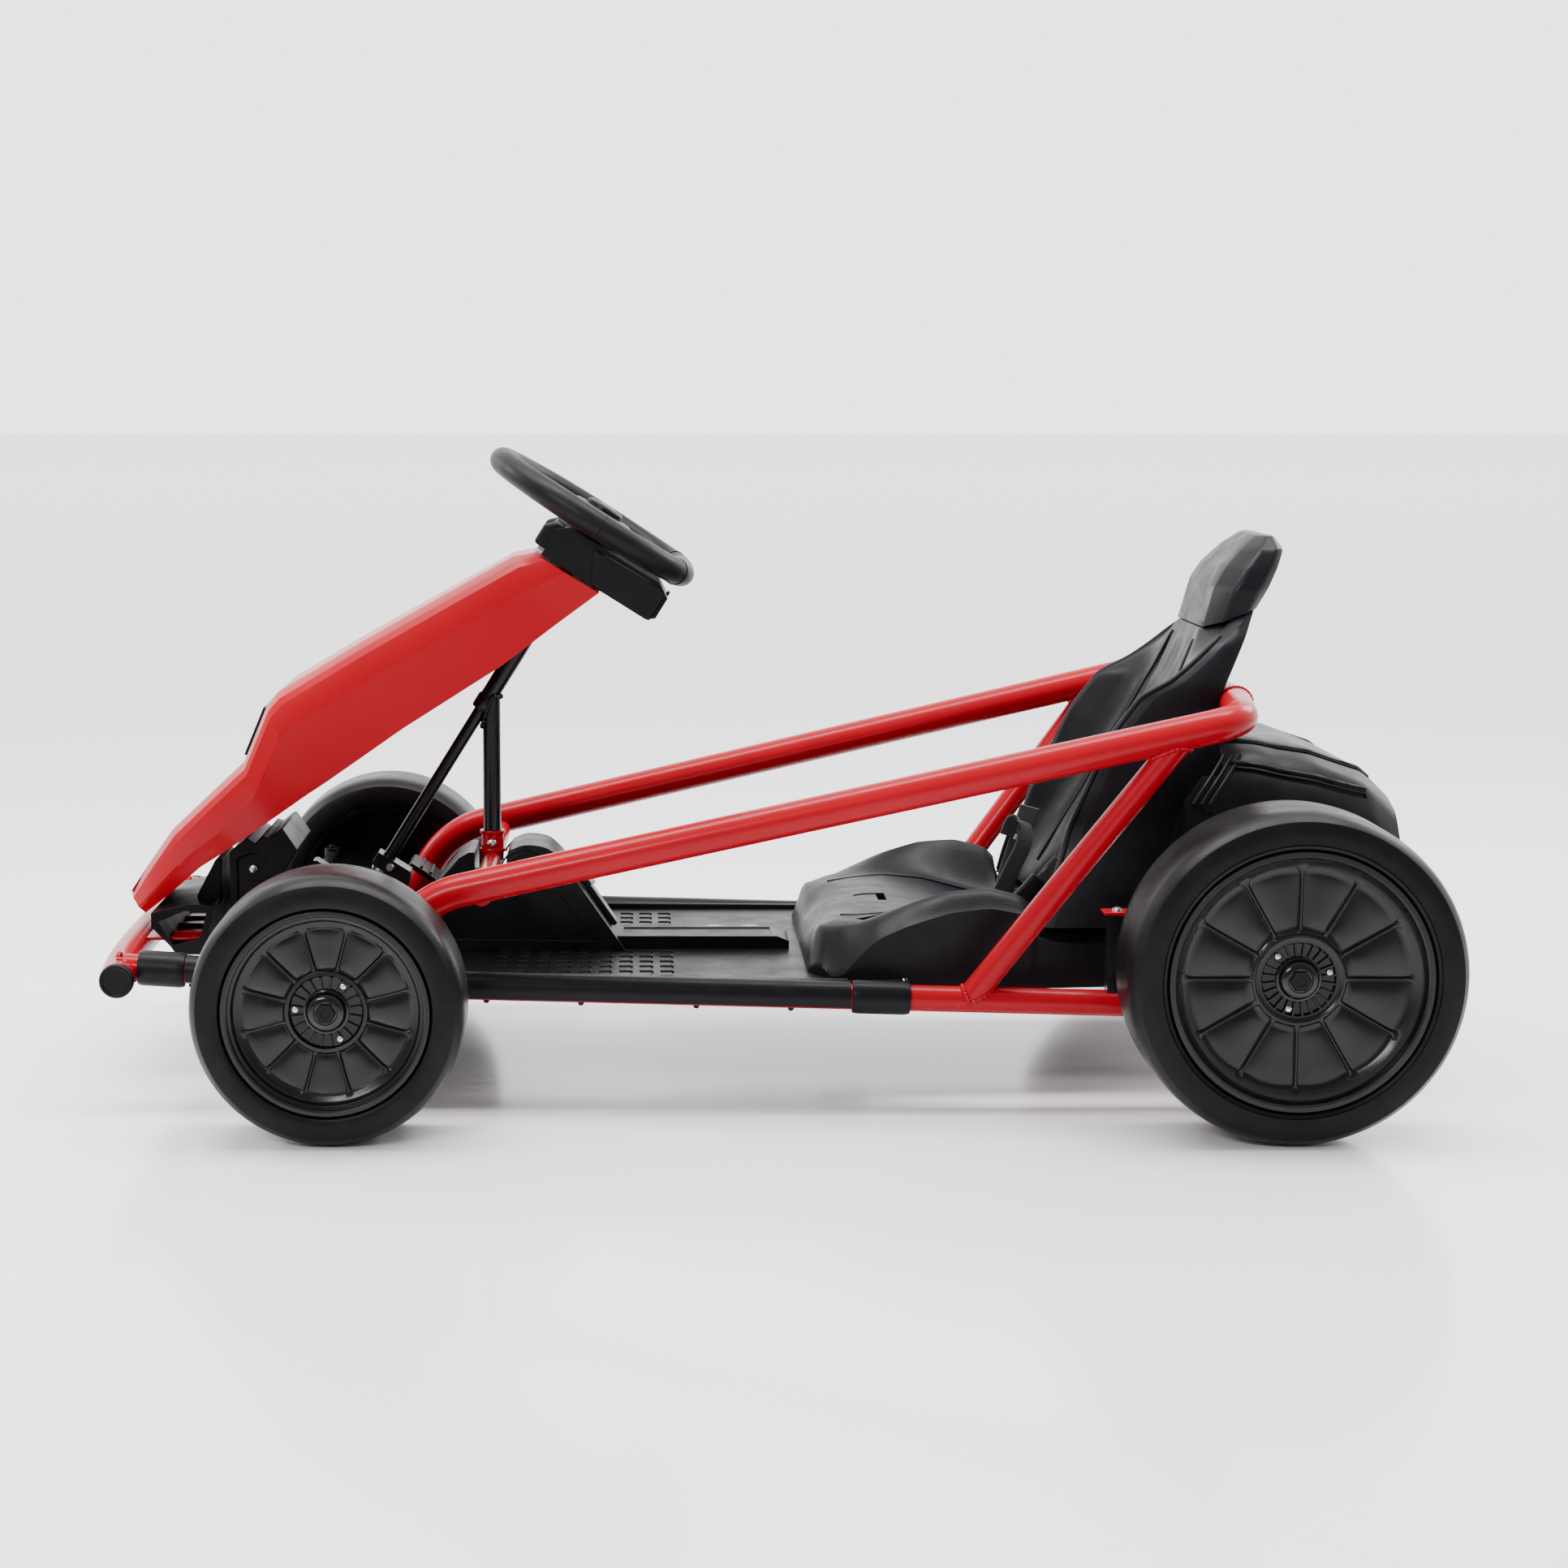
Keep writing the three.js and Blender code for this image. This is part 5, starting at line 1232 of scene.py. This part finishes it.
def add_belts():
    far = spline([(271, 92, 156), (277, 91, 180), (284, 88, 205), (291, 86, 230), (296, 85, 247)], 30)
    add_piece("lap_belt_right_strap", ribbon(far, (0.93, 0, -0.36), 21, 2.6), *ON_FRAME_WEBBING,
              ("lap_belt_right",))
    fold = spline([(268, 83, 158), (279, 80, 184), (290, 79, 210), (289, 81, 228),
                   (280, 84, 232), (273, 86, 216)], 40)
    add_piece("lap_belt_right_fold", ribbon(fold, (0.8, 0.3, -0.5), 19, 2.6), *ON_FRAME_WEBBING)
    buckle = ribbon(spline([(274, 95, 176), (279, 94, 196), (285, 92, 216)], 12), (0.93, 0, -0.36), 23, 6)
    add_piece("lap_belt_right_tongue", buckle, "frame", "charcoal_plastic", BLACK, (), 1.2, 3)
    slider = ribbon(np.array([(286, 87.5, 211), (287.5, 87, 217)], float), (0.93, 0, -0.36), 15, 9)
    add_piece("lap_belt_right_slider", slider, *ON_FRAME_STEEL, (), 0.8, 2)
    near = spline([(252, -92, 157), (266, -94, 172), (280, -96, 190), (293, -97, 208), (303, -98, 219)], 30)
    add_piece("lap_belt_left_strap", ribbon(near, (0.72, 0, -0.69), 20, 2.6), *ON_FRAME_WEBBING,
              ("lap_belt_left",))
    fold = spline([(262, -86, 160), (282, -88, 178), (296, -90, 200), (300, -93, 214), (288, -97, 204)], 40)
    add_piece("lap_belt_left_fold", ribbon(fold, (0.6, 0.3, -0.7), 17, 2.6), *ON_FRAME_WEBBING)
    latch = ribbon(spline([(254, -101, 172), (268, -101.5, 186), (282, -101, 202)], 12),
                   (0.72, 0, -0.69), 22, 8)
    add_piece("lap_belt_left_latch", latch, "frame", "charcoal_plastic", BLACK, (), 1.6, 4)
    tongue = ribbon(np.array([(246, -101, 165), (255, -101, 173)], float), (0.72, 0, -0.69), 14, 2.4)
    add_piece("lap_belt_left_tongue", tongue, *ON_FRAME_STEEL, (), 0.6, 2)


# ------------------------------------------------------------ rear

COVER = [(405, 345), (480, 344), (505, 339), (539, 333), (589, 314), (605, 300), (620, 285)]


def cover_ring(x, top, inset, bottom, fine=True):
    corners = [(0, top - inset), (100 - inset, top - inset), (134 - inset, top - 12 - inset),
               (160 - inset, top - 45 - inset / 2), (178 - inset, 215), (178 - inset, bottom)]
    half = corners
    if fine:
        bend = smooth_rows(corners[1:5], 15, 0.45)
        half = [corners[0], (50, top), *[tuple(p) for p in bend], (178, 203), corners[5]]
    return mirrored_ring(half, lambda y, z: (x, y, z))


def cover_section(x):
    """One side of the cover's section at x, as across and height."""
    ring = cover_ring(x, np.interp(x, *zip(*COVER)), 0, 190)
    return np.array(sorted((y, z) for _, y, z in ring if y >= 0 and z > 202))


def on_cover_top(x, across, sign, sink=0):
    section = cover_section(x)
    return x, sign * across, np.interp(across, section[:, 0], section[:, 1]) - sink


def on_cover_side(x, z, sign, sink=0):
    section = cover_section(x)[::-1]
    return x, sign * (np.interp(z, section[:, 1], section[:, 0]) - sink), z


def add_rear():
    smooth = smooth_rows(COVER, 31, 0.5)
    hollow = [(395, 345), *COVER[1:-1], (617, 288)]
    inner = skin([cover_ring(x, top, 3, 180, False) for x, top in hollow])
    opening = prism([(380, 170), (440, 170), (430, 230), (448, 300), (448, 400), (380, 400)], -152, 152)
    trim = prism([(380, 170), (440, 170), (430, 230), (410, 262), (409, 288),
                  (446, 336), (452, 400), (380, 400)],
                 -200, 200)
    grooves, beads, ribs, dots = [], [], [], []
    for _, sign in SIDES:
        for path, step in (([(436, 112), (485, 114), (533, 113), (570, 110), (600, 103)], -7),
                           ([(456, 147), (490, 149), (539, 149), (566, 147), (588, 144)], -6)):
            path = spline(np.array(path, float), 40)
            grooves.append(tube([on_cover_top(x, y, sign) for x, y in path], 2.8, 10))
            beads.append(tube([on_cover_top(x, y + step, sign, 1.4) for x, y in path], 3.2, 12))
        for shift in (3, 11, 19):
            line = spline(np.array([(448, 330), (436, 315), (424, 300), (414, 286)], float) + (shift, 0), 24)
            ribs.append(tube([on_cover_side(x, z, sign, 0.8) for x, z in line], 2.0, 10))
        for k in range(3):
            x, y, z = on_cover_side(419 + 7 * k, 284 - 3 * k, sign)
            dots.append(lathe([(0.01, abs(y) - 2), (2.1, abs(y) - 2), (2.1, abs(y) + 1), (0.01, abs(y) + 1)],
                              (x, 0, z), 20, sign))
    add_piece("rear_cover_shell", skin([cover_ring(x, top, 0, 190) for x, top in smooth]), *ON_FRAME_BLACK,
              ("rear_cover",), 1.6, 3, 32, cut=(inner, opening, trim, join(*grooves)))
    add_piece("rear_cover_beads", join(*beads), *ON_FRAME_BLACK)
    add_piece("rear_cover_ribs", join(*ribs), *ON_FRAME_BLACK)
    add_piece("rear_cover_dots", join(*dots), "frame", "black_plastic", SEAM_DOT_AND_SHADE_BLACK)
    ledge = []
    for _, sign in SIDES:
        ledge.append(tube(spline([(520, sign * 176.5, 262), (560, sign * 177.5, 258), (596, sign * 178, 250),
                                  (616, sign * 177, 240)], 30), 3.0, 12))
    add_piece("rear_cover_ledge", join(*ledge), *ON_FRAME_BLACK)
    lamp = prism([(620.3, 240), (624.5, 240), (626.5, 245), (626.5, 270), (624.5, 275), (620.3, 275)],
                 -64, 64)
    add_piece("tail_lamp_surround", lamp, "frame", "lamp_lens", GLOSS_BLACK, ("tail_lamp",), 1.4, 4)
    oval = [(y, 257.5 + z) for y, z in circle(1, 64) * (69.5, 13)]
    lens = skin([[(x, y * s, 257.5 + (z - 257.5) * s) for y, z in oval]
                 for x, s in ((623, 1), (628.6, 1), (630.4, 0.985), (630.9, 0.95))])
    add_piece("tail_lamp_lens", lens, "frame", "lamp_lens", LENS, (), 0.6, 3)


# ------------------------------------------------------------ wheels

SPOKES = 12
FRONT_RIM = {
    "ridge": 0.85, "inner": 38.0, "outer": 78.0, "top": 34.2, "recess": 2.6,
    "pillow": 1.7, "cap": 18.0, "nub": 9.6,
    "phase": math.radians(15), "ticks": 20, "screw_turn": 56,
    "lips": [(95, -44.5), (95, 44.5), (94, 46.4), (90.4, 46.5), (88.8, 45.2),
             (88.3, 42.2), (85.6, 41.6), (84.7, 40),
             (84.2, 36.8), (82.5, 35.2), (78.8, 34.6)],
    "hub": [(37.4, 34.9), (34.2, 35.2), (33.2, 34), (32.4, 31), (20, 30.6), (6.5, 30.6)],
    "back": [(6.5, -42), (20, -42), (20, 21), (90, 21), (90, -44.5)],
    "screws": 28.0,
}
REAR_RIM = {
    "ridge": 1.0, "inner": 43.0, "outer": 103.0, "top": 34.8, "recess": 3.0,
    "pillow": 2.0, "cap": 18.0, "nub": 10.0,
    "phase": 0.0, "ticks": 24, "screw_turn": 13,
    "lips": [(120, -48.5), (120, 48.5), (119, 50.4), (114.6, 50.5), (113, 49),
             (112.3, 44), (110.8, 41.5), (107, 37.5),
             (104, 35.4)],
    "hub": [(42, 35.2), (40, 35.6), (39, 34.8), (38, 34.2), (34, 34.2),
            (33.2, 33), (32.6, 31), (20, 30.6), (6.5, 30.6)],
    "back": [(6.5, -46), (20, -46), (20, 21), (115, 21), (115, -48.5)],
    "screws": 28.5,
}
FRONT_TYRE = [(95.3, 42.5), (97, 46), (100, 47.4), (104, 47.2), (110, 47.4),
              (117, 45.4), (121.5, 40.4), (124.2, 33), (125, 24),
              (125, 8)]
REAR_TYRE = [(120.3, 46.5), (122, 50), (124.4, 51.2), (125.2, 50.4), (126, 51.3),
             (132, 51.4), (138, 51.3), (146, 48.8),
             (150.5, 43.4), (153.2, 36), (154, 26), (154, 9)]


def sector_columns():
    """Columns of one spoke's sector: each a share of the ridge's half width or a place across the panel."""
    return [(share, None) for share in (-1, -0.5, 0.5, 1)] + [(None, u) for u in np.linspace(-1, 1, 17)]


def ridge_half_width(rim, r):
    """The ridge widens into a fillet where it meets the outer ring and the hub."""
    return rim["ridge"] * (1 + 3.2 * math.exp((r - rim["outer"]) / 2.6)
                           + 1.6 * math.exp((rim["inner"] - r) / 2.4))


def rim_column(rim, sector, column):
    """One closed section of the rim as (radius, angle, height) points."""
    share, across = column
    pitch = 2 * math.pi / SPOKES
    middle = sector * pitch + rim["phase"]

    def angle_at(r):
        r = min(max(r, rim["inner"]), rim["outer"])
        half_width = ridge_half_width(rim, r)
        if across is None:
            return middle + math.asin(share * half_width / r)
        margin = math.asin((half_width + 1.1) / r)
        return middle + pitch / 2 + across * (pitch / 2 - margin)

    ring = [(r, angle_at(r), y) for r, y in rim["back"] + rim["lips"]]
    for v in np.linspace(1, -1, 19):
        r = rim["inner"] + (v + 1) / 2 * (rim["outer"] - rim["inner"])
        height = rim["top"] + 0.3 * v
        if across is not None and abs(v) < 1:
            rise = (1 - abs(across) ** 2.2) * (1 - abs(v) ** 5)
            height += -rim["recess"] + rim["pillow"] * rise
        elif share is None or abs(share) == 1:
            height -= 0.5
        ring.append((r, angle_at(r), height))
    return ring + [(r, angle_at(r), y) for r, y in rim["hub"]]


def rim_shape(rim, centre, flip):
    rings = []
    for sector in range(SPOKES):
        for column in sector_columns():
            rings.append([(centre[0] + r * math.cos(a), centre[1] + flip * y, centre[2] + r * math.sin(a))
                          for r, a, y in rim_column(rim, sector, column)])
    return skin(rings, loop=True)


def tyre_profile(half, rim_radius):
    outer = list(half)
    mirrored_half = [(r, -y) for r, y in reversed(half)]
    return outer + mirrored_half + [(rim_radius + 0.3, -half[0][1] + 2), (rim_radius + 0.3, half[0][1] - 2)]


def add_wheel(end, name, sign, rim, tyre, rim_radius):
    body = f"wheel_{end}_{name}"
    place = joint_at(f"{body}_spin")
    low, high = box_mm(f"tyre_{end}_{name}")
    centre = (place[0], (low[1] + high[1]) / 2, place[2])
    add_piece(f"{body}_tyre", lathe(tyre_profile(tyre, rim_radius), centre, 192, sign),
              body, "tyre_compound", TYRE,
              (f"tyre_{end}_{name}",))
    add_piece(f"{body}_rim", rim_shape(rim, centre, sign), body, "rim_plastic",
              RIM, (f"rim_{end}_{name}",), 0.35, 2, 38)
    cap = rim["cap"]
    nub = rim["nub"]
    dome = [(0.01, 30.6), (cap + 2.2, 30.6), (cap + 2.2, 34), (cap + 0.6, 34.6),
            (cap, 35.6), (cap - 0.8, 38.4),
            (cap - 2.6, 40.2), (cap - 5, 41.2), (nub + 1.4, 41.4), (nub + 0.8, 40.4), (0.01, 40.4)]
    add_piece(f"{body}_cap", lathe(dome, centre, 96, sign), body, "charcoal_plastic", GLOSS_BLACK,
              (f"hub_cap_{end}_{name}",))
    nut = lathe([(0.01, 39), (nub, 39), (nub, 43), (nub - 1, 44), (0.5 * nub, 44),
                 (0.45 * nub, 43.2), (0.01, 43.2)],
                centre, 6, sign)
    add_piece(f"{body}_nut", nut, body, "charcoal_plastic", CHARCOAL, (), 0.7, 3)
    screws, ticks = [], []
    for k in range(3):
        a = math.radians(rim["screw_turn"] + 120 * k)
        x, z = centre[0] + rim["screws"] * math.cos(a), centre[2] + rim["screws"] * math.sin(a)
        screws.append(lathe([(0.01, 34.6), (1.6, 34.5), (2.6, 33.9), (2.8, 32.8), (2.8, 30), (0.01, 30)],
                            (x, centre[1], z), 28, sign))
    add_piece(f"{body}_screws", join(*screws), body, "steel", STEEL)
    for k in range(rim["ticks"]):
        a = 2 * math.pi * (k + 0.5) / rim["ticks"]
        ray = np.array((math.cos(a), 0, math.sin(a)))
        start = np.array(centre) + (0, sign * 31.5, 0)
        width_direction = np.array((-math.sin(a), 0, math.cos(a)))
        ticks.append(ribbon([start + ray * r for r in (cap + 3.4, cap + 8, rim["inner"] - 6.2)],
                            width_direction, 2.2, 5))
    add_piece(f"{body}_ticks", join(*ticks), body, "rim_plastic", RIM)


def add_wheels():
    for name, sign in SIDES:
        add_wheel("front", name, sign, FRONT_RIM, FRONT_TYRE, 95)
        add_wheel("rear", name, sign, REAR_RIM, REAR_TYRE, 120)


# ------------------------------------------------------------ whole scene

add_camera()
add_studio()
add_rails()
add_bumper()
add_collars()
add_floor_pan()
add_front_axle()
add_column()
add_steering_wheel()
add_console()
add_housing()
add_pedal()
add_nose()
add_seat_base()
add_seat_back()
add_headrest()
add_belts()
add_rear()
add_wheels()
